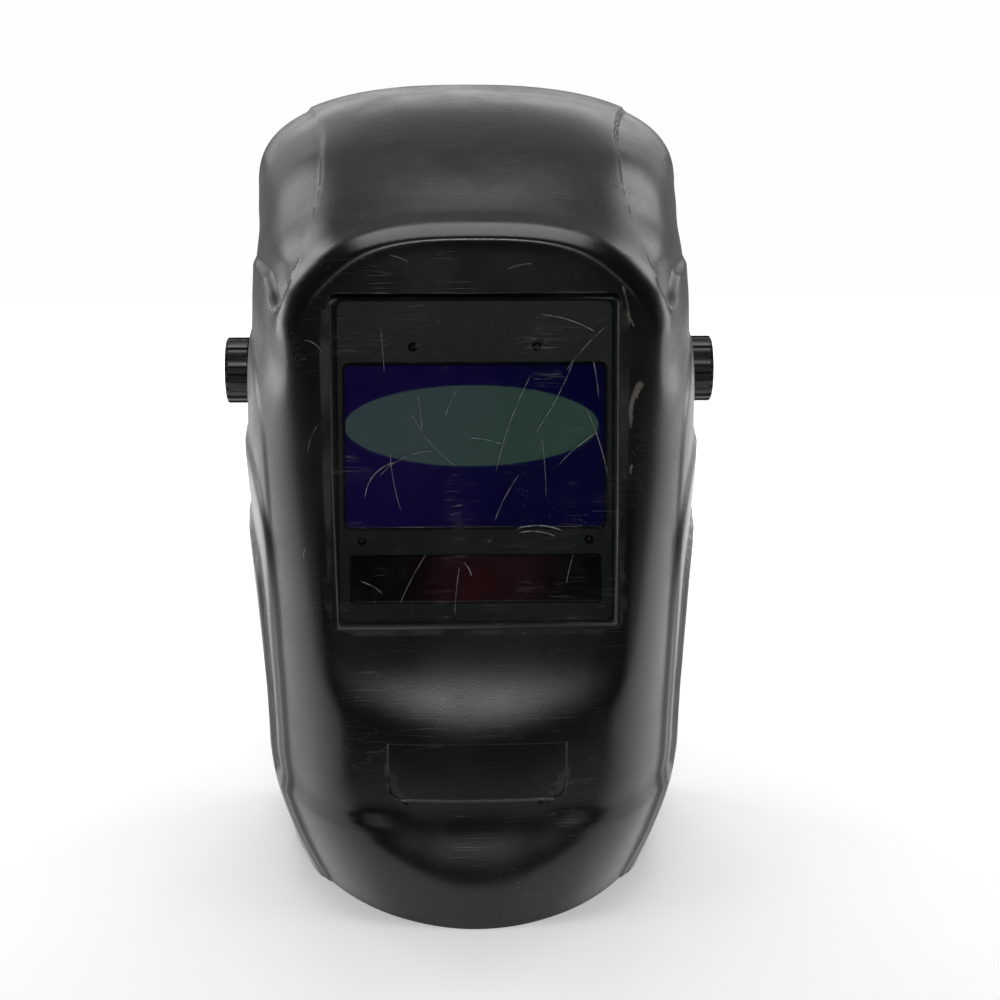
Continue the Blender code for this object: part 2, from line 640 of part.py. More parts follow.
def make_ratchet(gear):
    half = HOUSING_SIZE[0] / 2
    low = BAND_Z - HOUSING_SIZE[1] / 2
    high = BAND_Z + HOUSING_SIZE[1] / 2
    front, back = HOUSING_Y
    housing = piece("ratchet_housing", "strap plastic",
                    span((-half, front, low), (half, back, high), 6, 1), gear)
    wall = HOUSING_WALL
    cut(housing, span((wall - half, front - 5, low + wall), (half - wall, back - wall, high - wall), 4, 1))
    slot = REAR_BAND_HEIGHT / 2 + 0.6
    cut(housing, span((-60, front - 2, BAND_Z - slot), (60, front + 9, BAND_Z + slot)))
    cut(housing, rod(3.4, 0, 40), (0, back + 10, BAND_Z), (90, 0, 0))
    piece("ratchet_cover", "strap plastic",
          span((-half, front - GAP - 1.6, low), (half, front - GAP, high), 6, 1), gear)
    piece("nape_pad", "black foam",
          span((-40, 94, low - 2), (40, front - 2 * GAP - 1.6, high + 2), 8, 1), gear)

    knob = piece("ratchet_knob", "knob plastic", fluted(RATCHET_KNOB[0], GAP, RATCHET_KNOB[1], 16, 1.2),
                 gear, (0, back, BAND_Z), (-90, 0, 0))
    add(knob, rod(3.0, -1.2, 1, 16), (0, back, BAND_Z), (-90, 0, 0))
    gear_low = RACK_Y[0] - back - 0.2
    piece("ratchet_pinion", "steel", pinion(gear_low, -HOUSING_WALL - GAP), gear, (0, back, BAND_Z),
          (-90, 0, 0))
    rack("rack_right", -1, gear)
    rack("rack_left", 1, gear)


def main():
    front = shell_surface(41, 35)[..., 1].min()
    rear = headgear_rear()
    centre = empty("helmet", None, (0, -(front + rear) / 2, 0))
    window = empty("window frame", centre, (0, WINDOW_Y, WINDOW_Z), 90 - WINDOW_TILT)
    pivot = empty("pivot axis", centre, (0, 0, PIVOT_Z))
    gear = empty("headgear frame", pivot, (0, 0, 0), -BAND_SLOPE)
    make_shell(centre, window)
    make_bay(window)
    make_cartridge(window)
    make_controls(window)
    make_headgear(gear)
    make_pivots(gear, pivot)
    make_ratchet(gear)


def headgear_rear():
    """Furthest y of the ratchet knob, whose disc slopes with the band."""
    slope = math.radians(BAND_SLOPE)
    reach = HOUSING_Y[1] + RATCHET_KNOB[1]
    return reach * math.cos(slope) + (BAND_Z + RATCHET_KNOB[0]) * math.sin(slope)


main()
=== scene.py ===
"""Auto-darkening welding helmet: the visual model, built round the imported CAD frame.

Sizes are in millimetres and angles in degrees, in four frames: the helmet's own (x to the wearer's
left, y backwards from the pivot axis, z up), the window's (z outwards), the headgear's (z up from
its band) and each pivot's (z outwards along the axis).
"""
import json
import math

import bmesh
import bpy
import numpy as np
from mathutils import Matrix, Vector


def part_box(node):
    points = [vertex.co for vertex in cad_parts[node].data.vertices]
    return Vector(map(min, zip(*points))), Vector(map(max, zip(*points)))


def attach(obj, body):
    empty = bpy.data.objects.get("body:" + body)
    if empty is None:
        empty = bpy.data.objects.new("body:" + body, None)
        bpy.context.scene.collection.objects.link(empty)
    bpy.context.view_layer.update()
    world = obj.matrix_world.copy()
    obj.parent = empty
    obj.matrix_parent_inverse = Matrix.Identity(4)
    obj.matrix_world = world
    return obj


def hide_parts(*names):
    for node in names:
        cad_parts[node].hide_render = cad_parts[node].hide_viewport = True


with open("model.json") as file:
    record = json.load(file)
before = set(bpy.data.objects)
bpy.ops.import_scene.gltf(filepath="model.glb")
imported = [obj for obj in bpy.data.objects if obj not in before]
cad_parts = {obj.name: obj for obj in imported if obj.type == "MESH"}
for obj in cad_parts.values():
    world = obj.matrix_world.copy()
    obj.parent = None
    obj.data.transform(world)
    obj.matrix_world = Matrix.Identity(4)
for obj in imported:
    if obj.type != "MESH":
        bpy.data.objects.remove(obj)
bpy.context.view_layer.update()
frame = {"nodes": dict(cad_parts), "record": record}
MM = 0.001
GAP = 0.3                     # between pieces that lie against each other

# ---- Places, read from the frame


def size_of(node):
    low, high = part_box(node)
    return (high - low) / MM


def centre_of(node):
    low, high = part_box(node)
    return (low + high) / 2


PIVOT = Vector((0, *centre_of("pivot_bolt_left").yz))
PIVOT_Z = PIVOT.z / MM
WINDOW_TILT = 7
BAND_SLOPE = 19
LENS_DEPTH = 3.4              # middle of the cover lens behind the shell's face
LENS_HEIGHT = 5.25 * 25.4


def turned(angle, axis):
    return Matrix.Rotation(math.radians(angle), 4, axis)


def turned_frame(place, turn_x):
    return Matrix.Translation(place) @ turned(turn_x, "X") @ Matrix.Scale(MM, 4)


WINDOW_OUT = turned(90 - WINDOW_TILT, "X") @ Vector((0, 0, 1))
WINDOW_CENTRE = centre_of("cover_lens") + WINDOW_OUT * LENS_DEPTH * MM
HELMET = Matrix.Translation((0, PIVOT.y, 0)) @ Matrix.Scale(MM, 4)
WINDOW = turned_frame(WINDOW_CENTRE, 90 - WINDOW_TILT)
GEAR = turned_frame(PIVOT, -BAND_SLOPE)
PIVOT_TURNS = {"left": 90, "right": -90}
PIVOTS = {side: Matrix.Translation(PIVOT) @ turned(turn, "Y") @ Matrix.Scale(MM, 4)
          for side, turn in PIVOT_TURNS.items()}
WINDOW_Y = (WINDOW_CENTRE.y - PIVOT.y) / MM
WINDOW_Z = WINDOW_CENTRE.z / MM

# ---- Camera and studio

VIEW_PITCH = 12
VIEW_YAW = -1.8
VIEW_DISTANCE = 800
VIEW_LENS = 71.7
AIM_RIGHT = 9.8               # the helmet stands left of and above the picture's middle
AIM_DOWN = 14.9
FLOOR_GLOW = 0.35
WALL_IN_REFLECTIONS = 0.24
FLOOR_IN_REFLECTIONS = 0.6
WORLD_IN_REFLECTIONS = 0.012
KEPT_FROM_FILL = "kept from the back fill"

# Area lamps: name, place, aim, size in m, power in W; then colour and shape, where they differ
LAMPS = (
    ("overhead", (0, 0.1, 1.5), (0, 0, 0.2), (1.2, 1.0), 11),
    ("front fill", (0.0, -3.15, 1.95), (0, -0.14, 0.1), (0.80, 0.42), 22),
    ("apron strip", (0, -3.15, 1.25), (0, -0.14, 0.05), (4.0, 0.22), 3.4),
    ("back fill", (0, 1.9, 0.75), (0, 0, 0.2), (1.5, 0.7), 14),
    ("inner glow", (0, 1.9, 0.75), (0, 0, 0.2), (1.5, 0.7), 3),
    ("rim left", (0.9, 0.9, 0.9), (0, 0, 0.28), (0.4, 0.6), 1.6),
    ("rim right", (-0.9, 0.9, 0.9), (0, 0, 0.28), (0.4, 0.6), 1.8),
    ("side left", (1.15, 0.85, 0.3), (0, 0, 0.12), (0.5, 0.5), 1.6),
    ("side right", (-1.15, 0.85, 0.3), (0, 0, 0.12), (0.5, 0.5), 2.0),
    ("window", (0.016, -1.16, 0.275), (0, -0.13, 0.19), (0.236, 0.075), 0.029, (0.62, 1.0, 0.42), "ELLIPSE"),
)


def make_camera():
    yaw = math.radians(VIEW_YAW)
    pitch = math.radians(VIEW_PITCH)
    back = Vector((math.sin(yaw) * math.cos(pitch), -math.cos(yaw) * math.cos(pitch), math.sin(pitch)))
    right = (-back).cross(Vector((0, 0, 1))).normalized()
    up = back.cross(right)
    turn = Matrix((right, up, back)).transposed().to_4x4()
    data = bpy.data.cameras.new("camera")
    data.lens = VIEW_LENS
    data.sensor_width = 36
    camera = bpy.data.objects.new("camera", data)
    offset = back * VIEW_DISTANCE + right * AIM_RIGHT - up * AIM_DOWN
    camera.matrix_world = Matrix.Translation(WINDOW_CENTRE + offset * MM) @ turn
    bpy.context.scene.collection.objects.link(camera)
    bpy.context.scene.camera = camera


def softbox(name, place, aim, size, power, colour=(1, 1, 1), shape="RECTANGLE"):
    data = bpy.data.lights.new(name, "AREA")
    data.shape = shape
    data.size = size[0]
    data.size_y = size[1]
    data.energy = power
    data.color = colour
    lamp = bpy.data.objects.new(name, data)
    lamp.location = place
    lamp.rotation_euler = (Vector(aim) - Vector(place)).to_track_quat("-Z", "Y").to_euler()
    lamp.visible_camera = False
    bpy.context.scene.collection.objects.link(lamp)
    return lamp


def make_lights():
    lamps = {lamp[0]: softbox(*lamp) for lamp in LAMPS}
    lamps["back fill"].light_linking.receiver_collection = bpy.data.collections.new(KEPT_FROM_FILL)
    lamps["window"].light_linking.receiver_collection = bpy.data.collections.new("glass")
    world = bpy.data.worlds.new("studio")
    bpy.context.scene.world = world
    world.use_nodes = True
    nodes = world.node_tree.nodes
    nodes["Background"].inputs["Color"].default_value = (1, 1, 1, 1)
    seen = nodes.new("ShaderNodeLightPath")
    level = nodes.new("ShaderNodeMapRange")
    level.inputs["To Min"].default_value = WORLD_IN_REFLECTIONS
    level.inputs["To Max"].default_value = 1.0
    world.node_tree.links.new(seen.outputs["Is Camera Ray"], level.inputs["Value"])
    world.node_tree.links.new(level.outputs["Result"], nodes["Background"].inputs["Strength"])


def make_studio():
    """A pale floor, and a bright white wall behind the helmet."""
    for name, material, corners in (
            ("floor", pale_floor(), ((-4, -4, 0), (4, -4, 0), (4, 4, 0), (-4, 4, 0))),
            ("wall", bright_wall(), ((-4, 2.2, -1), (4, 2.2, -1), (4, 2.2, 4), (-4, 2.2, 4)))):
        bm = bmesh.new()
        bm.faces.new([bm.verts.new(corner) for corner in corners])
        show(name, bm, Matrix.Identity(4), None, None, material=material)


# ---- Materials

class Finish:
    """The nodes of one material. Patterns are laid out in the row frame, in metres."""

    def __init__(self, name):
        self.material = bpy.data.materials.new(name)
        self.material.use_nodes = True
        self.tree = self.material.node_tree
        self.tree.nodes.clear()
        self.place = self.add("ShaderNodeTexCoord").outputs["Object"]

    def add(self, kind, settings=None, inputs=None):
        node = self.tree.nodes.new(kind)
        for key, value in (settings or {}).items():
            setattr(node, key, value)
        for key, value in (inputs or {}).items():
            if isinstance(value, bpy.types.NodeSocket):
                self.tree.links.new(value, node.inputs[key])
            else:
                node.inputs[key].default_value = value
        return node

    def math(self, operation, a, b=0.0, c=0.0):
        return self.add("ShaderNodeMath", {"operation": operation}, {0: a, 1: b, 2: c}).outputs[0]

    def times(self, a, b):
        return self.math("MULTIPLY", a, b)

    def larger(self, a, b):
        return self.math("MAXIMUM", a, b)

    def spots(self, scale, low, high):
        """1 in small round spots, one to a cell."""
        return self.ramp(self.cells(scale), low, high, 1, 0)

    def axes(self, place=None):
        return self.add("ShaderNodeSeparateXYZ", {}, {0: place or self.place}).outputs

    def laid(self, stretch=(1, 1, 1), turn=(0, 0, 0)):
        """The place, turned and stretched, for patterns with a grain."""
        angles = [math.radians(a) for a in turn]
        return self.add("ShaderNodeMapping", {},
                        {"Vector": self.place, "Rotation": angles, "Scale": stretch}).outputs[0]

    def noise(self, scale, detail=3, rough=0.5, place=None, warp=0.0):
        return self.add("ShaderNodeTexNoise", {},
                        {"Vector": place or self.place, "Scale": scale, "Detail": detail,
                         "Roughness": rough, "Distortion": warp}).outputs["Fac"]

    def cells(self, scale, feature="F1", place=None):
        return self.add("ShaderNodeTexVoronoi", {"feature": feature},
                        {"Vector": place or self.place, "Scale": scale}).outputs["Distance"]

    def ramp(self, value, low, high, start=0.0, end=1.0):
        return self.add("ShaderNodeMapRange", {"interpolation_type": "SMOOTHSTEP"},
                        {"Value": value, "From Min": low, "From Max": high, "To Min": start,
                         "To Max": end}).outputs["Result"]

    def blend(self, share, a, b):
        return self.add("ShaderNodeMix", {"data_type": "RGBA"},
                        {0: share, 6: self.colour(a), 7: self.colour(b)}).outputs[2]

    @staticmethod
    def colour(value):
        return value if isinstance(value, bpy.types.NodeSocket) else (*value, 1)

    def bump(self, height, distance, under=None):
        inputs = {"Height": height, "Distance": distance * MM, "Strength": 1.0}
        if under is not None:
            inputs["Normal"] = under
        return self.add("ShaderNodeBump", {}, inputs).outputs[0]

    def wear(self):
        """1 on the sharp convex edges, broken up by noise."""
        edge = self.add("ShaderNodeNewGeometry").outputs["Pointiness"]
        return self.times(self.ramp(edge, 0.515, 0.56), self.ramp(self.noise(60, 4), 0.35, 0.7))

    def surface(self, **inputs):
        named = {key.replace("_", " "): value for key, value in inputs.items()}
        if "Base Color" in named:
            named["Base Color"] = self.colour(named["Base Color"])
        shader = self.add("ShaderNodeBsdfPrincipled", {}, named)
        return self.output(shader.outputs[0])

    def output(self, shader):
        self.add("ShaderNodeOutputMaterial", {}, {"Surface": shader})
        return self.material


def streaks(finish, layers, scale, width):
    """Fine straight scratches: stretched noise in several directions, cut to thin lines."""
    total = None
    for turn, seed in layers:
        place = finish.laid((0.035, 1, 1), turn)
        moved = finish.add("ShaderNodeVectorMath", {"operation": "ADD"},
                           {0: place, 1: (seed, seed * 2, seed * 3)})
        line = finish.noise(scale, 1, 0.4, moved.outputs[0], 0.15)
        thin = finish.ramp(finish.math("ABSOLUTE", finish.math("SUBTRACT", line, 0.5)), 0, width, 1, 0)
        patch = finish.ramp(finish.noise(28 + 5 * seed, 3), 0.56, 0.68)
        thin = finish.times(thin, patch)
        total = thin if total is None else finish.larger(total, thin)
    return total


def grey(level):
    return (level, level, level)


def moulded(name, colour, roughness, grain=0.03, marks=0.5, dust=0.25, chips=()):
    """Moulded plastic with fine grain, smears, scratches and dust; chipped plastic has rubbed edges too."""
    finish = Finish(name)
    smear = finish.noise(14, 5, 0.62)
    mottle = finish.noise(90, 4, 0.6)
    fine = finish.noise(1500, 2, 0.5)
    lines = streaks(finish, (((0, 0, 20), 1), ((50, 10, 75), 2), ((70, 40, 130), 3)), 260, 0.012)
    base = finish.blend(mottle, [c * 0.8 for c in colour], [c * 1.25 for c in colour])
    base = finish.blend(finish.times(lines, 0.30 * marks), base, grey(0.16))
    specks = finish.spots(210, 0.05, 0.11)
    specks = finish.times(specks, finish.ramp(finish.noise(11, 2), 0.55, 0.7))
    base = finish.blend(finish.times(specks, dust), base, (0.32, 0.31, 0.29))
    rough = finish.ramp(smear, 0.3, 0.75, roughness - 0.06, roughness + 0.10)
    rough = finish.math("ADD", rough, finish.times(lines, 0.15 * marks))
    normal = finish.bump(fine, grain)
    normal = finish.bump(finish.times(lines, -1), 0.02 * marks, normal)
    if chips:
        edge = finish.wear()
        base = finish.blend(finish.times(edge, 0.4), base, grey(0.08))
        rough = finish.math("ADD", rough, finish.times(edge, 0.1))
        chipped = scored(finish, chips, 140)
        base = finish.blend(finish.times(chipped, 0.85), base, (0.20, 0.18, 0.145))
        rough = finish.math("ADD", rough, finish.times(chipped, 0.3))
        normal = finish.bump(finish.times(chipped, -1), 0.15, normal)
    return finish.surface(Base_Color=base, Roughness=rough, Normal=normal, IOR=1.5)


def pale_floor():
    """Pale to the camera; in reflections dark in front, and bright beside, behind and close by."""
    finish = Finish("pale floor")
    base = finish.blend(finish.noise(3, 2), grey(0.86), grey(0.90))
    seen = finish.add("ShaderNodeLightPath").outputs["Is Camera Ray"]
    x, y = finish.axes()[:2]
    beside = finish.ramp(finish.math("MULTIPLY_ADD", y, 0.5, finish.math("ABSOLUTE", x)), 0.02, 0.13)
    behind = finish.larger(beside, finish.ramp(y, -0.15, 0.05))
    far = finish.add("ShaderNodeVectorMath", {"operation": "LENGTH"}, {0: finish.place}).outputs["Value"]
    behind = finish.larger(behind, finish.ramp(far, 0.2, 0.4, 0.9, 0.0))
    shade = finish.blend(behind, grey(0.02), grey(0.75))
    base = finish.blend(seen, shade, base)
    lit = finish.times(seen, finish.ramp(far, 0.3, 1.6, FLOOR_GLOW, 1.0))
    near = finish.times(behind, finish.ramp(far, 0.65, 1.1, 1.0, 0.3))
    mirrored = finish.times(finish.math("SUBTRACT", 1.0, seen), near)
    glow = finish.math("MULTIPLY_ADD", mirrored, FLOOR_IN_REFLECTIONS, lit)
    return finish.surface(Base_Color=base, Roughness=0.85, Emission_Color=(1, 1, 1, 1),
                          Emission_Strength=glow)


def bright_wall():
    finish = Finish("bright wall")
    tone = finish.blend(finish.noise(1, 1), grey(0.98), grey(1))
    seen = finish.add("ShaderNodeLightPath").outputs["Is Camera Ray"]
    level = finish.ramp(seen, 0, 1, WALL_IN_REFLECTIONS, 1.0)
    glow = finish.add("ShaderNodeEmission", {}, {"Color": tone, "Strength": level})
    return finish.output(glow.outputs[0])


OUTER_FACE = (-0.0045, -0.0040)     # scratches fade out between these depths behind the window's face


def scored(finish, marks, breakup=300):
    """Single scratches: each a (x, y, angle, length, bend, width) stroke in mm in the window's frame."""
    local = finish.add("ShaderNodeVectorMath", {"operation": "SUBTRACT"}, {0: finish.place, 1: WINDOW_CENTRE})
    turn = finish.add("ShaderNodeVectorRotate", {"rotation_type": "X_AXIS"},
                      {"Vector": local.outputs[0], "Angle": -math.radians(90 - WINDOW_TILT)})
    x, y, depth = finish.axes(turn.outputs[0])
    rough = finish.ramp(finish.noise(breakup, 3), 0.35, 0.6, 0.25, 1)
    total = None
    for at_x, at_y, angle, length, bend, width in marks:
        cos = math.cos(math.radians(angle))
        sin = math.sin(math.radians(angle))
        across_x = finish.math("SUBTRACT", x, at_x * MM)
        across_y = finish.math("SUBTRACT", y, at_y * MM)
        along = finish.math("MULTIPLY_ADD", across_x, cos, finish.times(across_y, sin))
        aside = finish.math("MULTIPLY_ADD", across_x, -sin, finish.times(across_y, cos))
        share = finish.math("DIVIDE", along, length / 2 * MM)
        square = finish.times(share, share)
        bowed = finish.math("ABSOLUTE", finish.math("MULTIPLY_ADD", square, bend * MM, aside))
        line = finish.ramp(bowed, width * 0.2 * MM, width * MM, 1, 0)
        line = finish.times(line, finish.ramp(square, 0.6, 1.0, 1, 0))
        total = line if total is None else finish.larger(total, line)
    outside = finish.ramp(depth, *OUTER_FACE)
    return finish.times(finish.times(total, rough), outside)


# Scratches on the cover lens: x, y, angle, length, bend, width
LENS_SCRATCHES = (
    (26, -25.8, -3, 19, 1.8, 0.30), (25, -28.2, -6, 16, 1.5, 0.22), (33, 26, 62, 34, -1.2, 0.16),
    (50, 8, -72, 30, 1.0, 0.20), (14, 16, 70, 44, 1.6, 0.16), (-29, 2, 25, 26, 3.0, 0.12),
    (-41, -5, 50, 20, 3.5, 0.22), (-33, -8, -80, 26, -1.0, 0.12), (44, 46, 48, 24, 0.8, 0.14),
    (38, 57, -18, 24, 1.5, 0.24), (-22, 20, -84, 16, 0.3, 0.14), (-10, 24, 66, 12, 0.4, 0.14),
    (-37, 45, -86, 18, 0.0, 0.12), (12, -14, 62, 22, 0.8, 0.16), (28, -2, -86, 26, 0.4, 0.10),
    (-3, -43, -60, 7, 0.6, 0.26), (-42, -50, -30, 11, 0.8, 0.18), (-26, -47, 62, 24, 0.6, 0.10),
    (-8, -52, 84, 20, 0.4, 0.16), (38, -43, 76, 14, 0.4, 0.10), (5, 9, -12, 16, 0.8, 0.16),
    (41, 6, 40, 22, 1.0, 0.18), (-18, 8, -50, 30, -2.0, 0.10), (49, 33, -82, 16, 0.3, 0.18),
)

# Chips and drips of spatter on the shell beside the window, in the same terms
SHELL_CHIPS = (
    (61, 63, -80, 17, 0.6, 0.7), (62.5, 57, -60, 6, 0.5, 0.5), (63.2, 25, 76, 17, 1.6, 1.3),
    (65.5, 29, 60, 7, 0.8, 1.2), (62.4, 17, 84, 7, 0.4, 1.0), (62.5, -3, 80, 4, 0.3, 0.7),
    (73.8, -22, 86, 15, 1.2, 1.0), (75.2, -28, 70, 6, 0.5, 1.1), (-64, 48, -35, 9, 1.4, 0.25),
    (-66, 10, 70, 12, 0.8, 0.25), (-70, -38, 80, 8, 0.5, 0.35), (18, 79, 12, 10, 0.6, 0.2),
    (-30, 82, -20, 8, 0.5, 0.25),
)


def clear_polycarbonate(name, marks):
    """Clear sheet: faint gloss, a haze of fine scratches, and single deeper ones."""
    finish = Finish(name)
    haze = streaks(finish, (((0, 0, 35), 4), ((20, 10, 82), 5), ((50, 0, 118), 6)), 420, 0.010)
    pits = finish.times(finish.spots(420, 0.05, 0.16), finish.ramp(finish.noise(36, 3), 0.56, 0.66))
    worn = finish.larger(finish.times(haze, 0.28), finish.times(pits, 0.35))
    if marks:
        worn = finish.larger(worn, scored(finish, marks))
    film = finish.ramp(finish.noise(22, 4), 0.3, 0.8, 0.002, 0.007)
    share = finish.larger(finish.times(worn, 0.8), film)
    clear = finish.add("ShaderNodeBsdfTransparent", {}, {"Color": (0.93, 0.95, 0.95, 1)})
    gloss = finish.add("ShaderNodeBsdfPrincipled", {}, {"Base Color": (*grey(0.42), 1), "Roughness": 0.35})
    lit = finish.add("ShaderNodeMixShader", {}, {0: share, 1: clear.outputs[0], 2: gloss.outputs[0]})
    edge = finish.add("ShaderNodeFresnel", {}, {"IOR": 1.18})
    shine = finish.add("ShaderNodeBsdfGlossy", {}, {"Roughness": 0.06})
    both = finish.add("ShaderNodeMixShader", {}, {0: edge.outputs[0], 1: lit.outputs[0], 2: shine.outputs[0]})
    return finish.output(both.outputs[0])


def filter_coating():
    """Dark filter glass under an interference coating, violet at the wearer's right and blue at the left."""
    finish = Finish("filter glass")
    wander = finish.times(finish.math("SUBTRACT", finish.noise(12, 2), 0.5), 0.05)
    drift = finish.math("ADD", finish.axes()[0], wander)
    blue = finish.ramp(drift, -0.03, 0.03)
    base = finish.blend(blue, (0.014, 0.004, 0.13), (0.001, 0.001, 0.085))
    mottle = finish.ramp(finish.noise(60, 5, 0.7), 0.45, 0.8, 0, 0.5)
    base = finish.blend(mottle, base, (0.020, 0.012, 0.12))
    tint = finish.blend(blue, (1.0, 0.95, 1.0), (0.80, 1.0, 0.85))
    return finish.surface(Base_Color=base, Roughness=0.015, IOR=1.75, Specular_Tint=tint)


SOLAR_CELL_PITCH = 16.8


def solar_cell():
    """Dark maroon amorphous cells, redder in the middle, split by thin contact lines."""
    finish = Finish("solar cell")
    x = finish.axes()[0]
    red = finish.ramp(finish.math("ABSOLUTE", finish.math("SUBTRACT", x, 0.004)), 0.005, 0.034, 1, 0)
    red = finish.times(red, finish.ramp(finish.noise(30, 4), 0.25, 0.7, 0.5, 1))
    base = finish.blend(red, (0.0035, 0.0012, 0.0018), (0.075, 0.010, 0.014))
    share = finish.math("FRACT", finish.math("DIVIDE", x, SOLAR_CELL_PITCH * MM))
    line = finish.ramp(finish.math("ABSOLUTE", finish.math("SUBTRACT", share, 0.5)), 0.486, 0.492)
    base = finish.blend(finish.times(line, 0.15), base, (0.05, 0.030, 0.022))
    rough = finish.ramp(finish.noise(80, 3), 0.3, 0.7, 0.16, 0.26)
    return finish.surface(Base_Color=base, Roughness=rough, IOR=1.5)


def circuit_laminate():
    """Green solder mask with copper tracks showing through."""
    finish = Finish("circuit board")
    tracks = finish.cells(260, "DISTANCE_TO_EDGE", finish.laid((1, 1, 1), (0, 0, 45)))
    tracks = finish.ramp(tracks, 0.10, 0.13)
    base = finish.blend(tracks, (0.030, 0.160, 0.070), (0.012, 0.080, 0.035))
    pads = finish.spots(480, 0.16, 0.2)
    base = finish.blend(finish.times(pads, 0.6), base, (0.5, 0.42, 0.28))
    return finish.surface(Base_Color=base, Roughness=finish.ramp(pads, 0, 1, 0.45, 0.25),
                          Normal=finish.bump(tracks, 0.03), Metallic=finish.times(pads, 0.6))


def machined(name, colour, roughness):
    """Turned metal: fine tool marks, and tarnish in patches."""
    finish = Finish(name)
    fine = finish.noise(900, 2, 0.6, finish.laid((0.06, 1, 1)))
    tarnish = finish.ramp(finish.noise(120, 5, 0.65), 0.42, 0.75)
    base = finish.blend(tarnish, colour, [c * 0.55 for c in colour])
    rough = finish.math("ADD", finish.ramp(fine, 0.3, 0.7, roughness - 0.08, roughness + 0.08),
                        finish.times(tarnish, 0.15))
    return finish.surface(Base_Color=base, Roughness=rough, Metallic=1.0, Normal=finish.bump(fine, 0.01))


def sensor_window():
    finish = Finish("sensor lens")
    base = finish.blend(finish.noise(900, 2), (0.004, 0.003, 0.006), (0.012, 0.009, 0.014))
    return finish.surface(Base_Color=base, Roughness=finish.ramp(finish.noise(400, 2), 0.3, 0.7, 0.06, 0.16),
                          IOR=1.55, Coat_Weight=0.5, Coat_Roughness=0.05)


def padded_cover(name, colour=(0.020, 0.020, 0.021)):
    """Knitted cover cloth: rows of small loops, lint and lighter patches at random."""
    finish = Finish(name)
    across = finish.add("ShaderNodeTexWave", {"wave_type": "BANDS", "bands_direction": "Z"},
                        {"Vector": finish.place, "Scale": 230, "Distortion": 0.6, "Detail": 2,
                         "Detail Scale": 4}).outputs["Fac"]
    loops = finish.cells(1150)
    knit = finish.math("ADD", finish.times(across, 0.55), finish.ramp(loops, 0.1, 0.7, 0.6, 0))
    lint = finish.times(finish.spots(330, 0.03, 0.08), finish.ramp(finish.noise(25, 3), 0.5, 0.7))
    base = finish.blend(finish.ramp(knit, 0.2, 1.0), [c * 0.45 for c in colour], [c * 1.8 for c in colour])
    base = finish.blend(finish.ramp(finish.noise(18, 4), 0.4, 0.75, 0, 0.35), base, (0.045, 0.043, 0.040))
    base = finish.blend(finish.times(lint, 0.35), base, (0.30, 0.30, 0.29))
    return finish.surface(Base_Color=base, Roughness=finish.ramp(knit, 0.2, 1, 0.92, 0.78),
                          Normal=finish.bump(knit, 0.25), Sheen_Weight=0.35, Sheen_Roughness=0.5)


def make_finishes():
    """Every finish, by the record's material slot."""
    return {
        "black_nylon": moulded("black nylon", (0.0065, 0.0065, 0.0070), 0.26),
        "shell_nylon": moulded("spattered black nylon", (0.0065, 0.0065, 0.0070), 0.26, chips=SHELL_CHIPS),
        "knob_plastic": moulded("knob plastic", (0.0045, 0.0045, 0.0050), 0.27, 0.02, 0.4, 0.15),
        "case_plastic": moulded("case plastic", (0.0080, 0.0080, 0.0085), 0.40, 0.05, 0.5, 0.2),
        "strap_plastic": moulded("strap plastic", (0.011, 0.011, 0.012), 0.38, 0.03, 0.7, 0.3),
        "grey_plastic": moulded("grey plastic", (0.115, 0.115, 0.120), 0.42, 0.03, 0.6, 0.3),
        "clear_polycarbonate": clear_polycarbonate("clear polycarbonate", ()),
        "cover_lens": clear_polycarbonate("scratched cover lens", LENS_SCRATCHES),
        "filter_glass": filter_coating(),
        "solar_cell": solar_cell(),
        "circuit_board": circuit_laminate(),
        "sensor_lens": sensor_window(),
        "steel": machined("steel", (0.50, 0.50, 0.51), 0.34),
        "brass": machined("brass", (0.58, 0.40, 0.16), 0.32),
        "black_foam": padded_cover("knitted cover"),
        "white_paint": moulded("white paint", (0.55, 0.55, 0.54), 0.5, 0.02, 0.3, 0.1),
        "thread": moulded("grey thread", (0.07, 0.07, 0.072), 0.75, 0.06, 0, 0),
        "leatherette": moulded("sweatband leatherette", (0.013, 0.013, 0.0135), 0.52, 0.12, 0.3, 0.4),
    }


FINISHES = {}

# ---- Building helpers, all in mm in one of the four frames

def show(name, bm, matrix, body, slot, replaces=(), material=None, smooth_angle=35):
    """A piece from a bmesh in mm, put in the row frame and made to ride on its body."""
    mesh = bpy.data.meshes.new(name)
    bm.transform(matrix)
    bm.to_mesh(mesh)
    bm.free()
    mesh.materials.append(material or FINISHES[slot])
    mesh.shade_smooth()
    mesh.set_sharp_from_angle(angle=math.radians(smooth_angle))
    thing = bpy.data.objects.new(name, mesh)
    bpy.context.scene.collection.objects.link(thing)
    if body:
        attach(thing, body)
    if replaces:
        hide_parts(*replaces)
    return thing


def rounded(thing, width, segments=2, angle=32):
    bevel = thing.modifiers.new("Edges", "BEVEL")
    bevel.width = width * MM
    bevel.segments = segments
    bevel.limit_method = "ANGLE"
    bevel.angle_limit = math.radians(angle)
    bevel.harden_normals = True
    return thing


def settled(thing):
    """Apply the modifiers of a thing to its mesh."""
    graph = bpy.context.evaluated_depsgraph_get()
    mesh = bpy.data.meshes.new_from_object(thing.evaluated_get(graph))
    thing.modifiers.clear()
    thing.data = mesh
    return thing


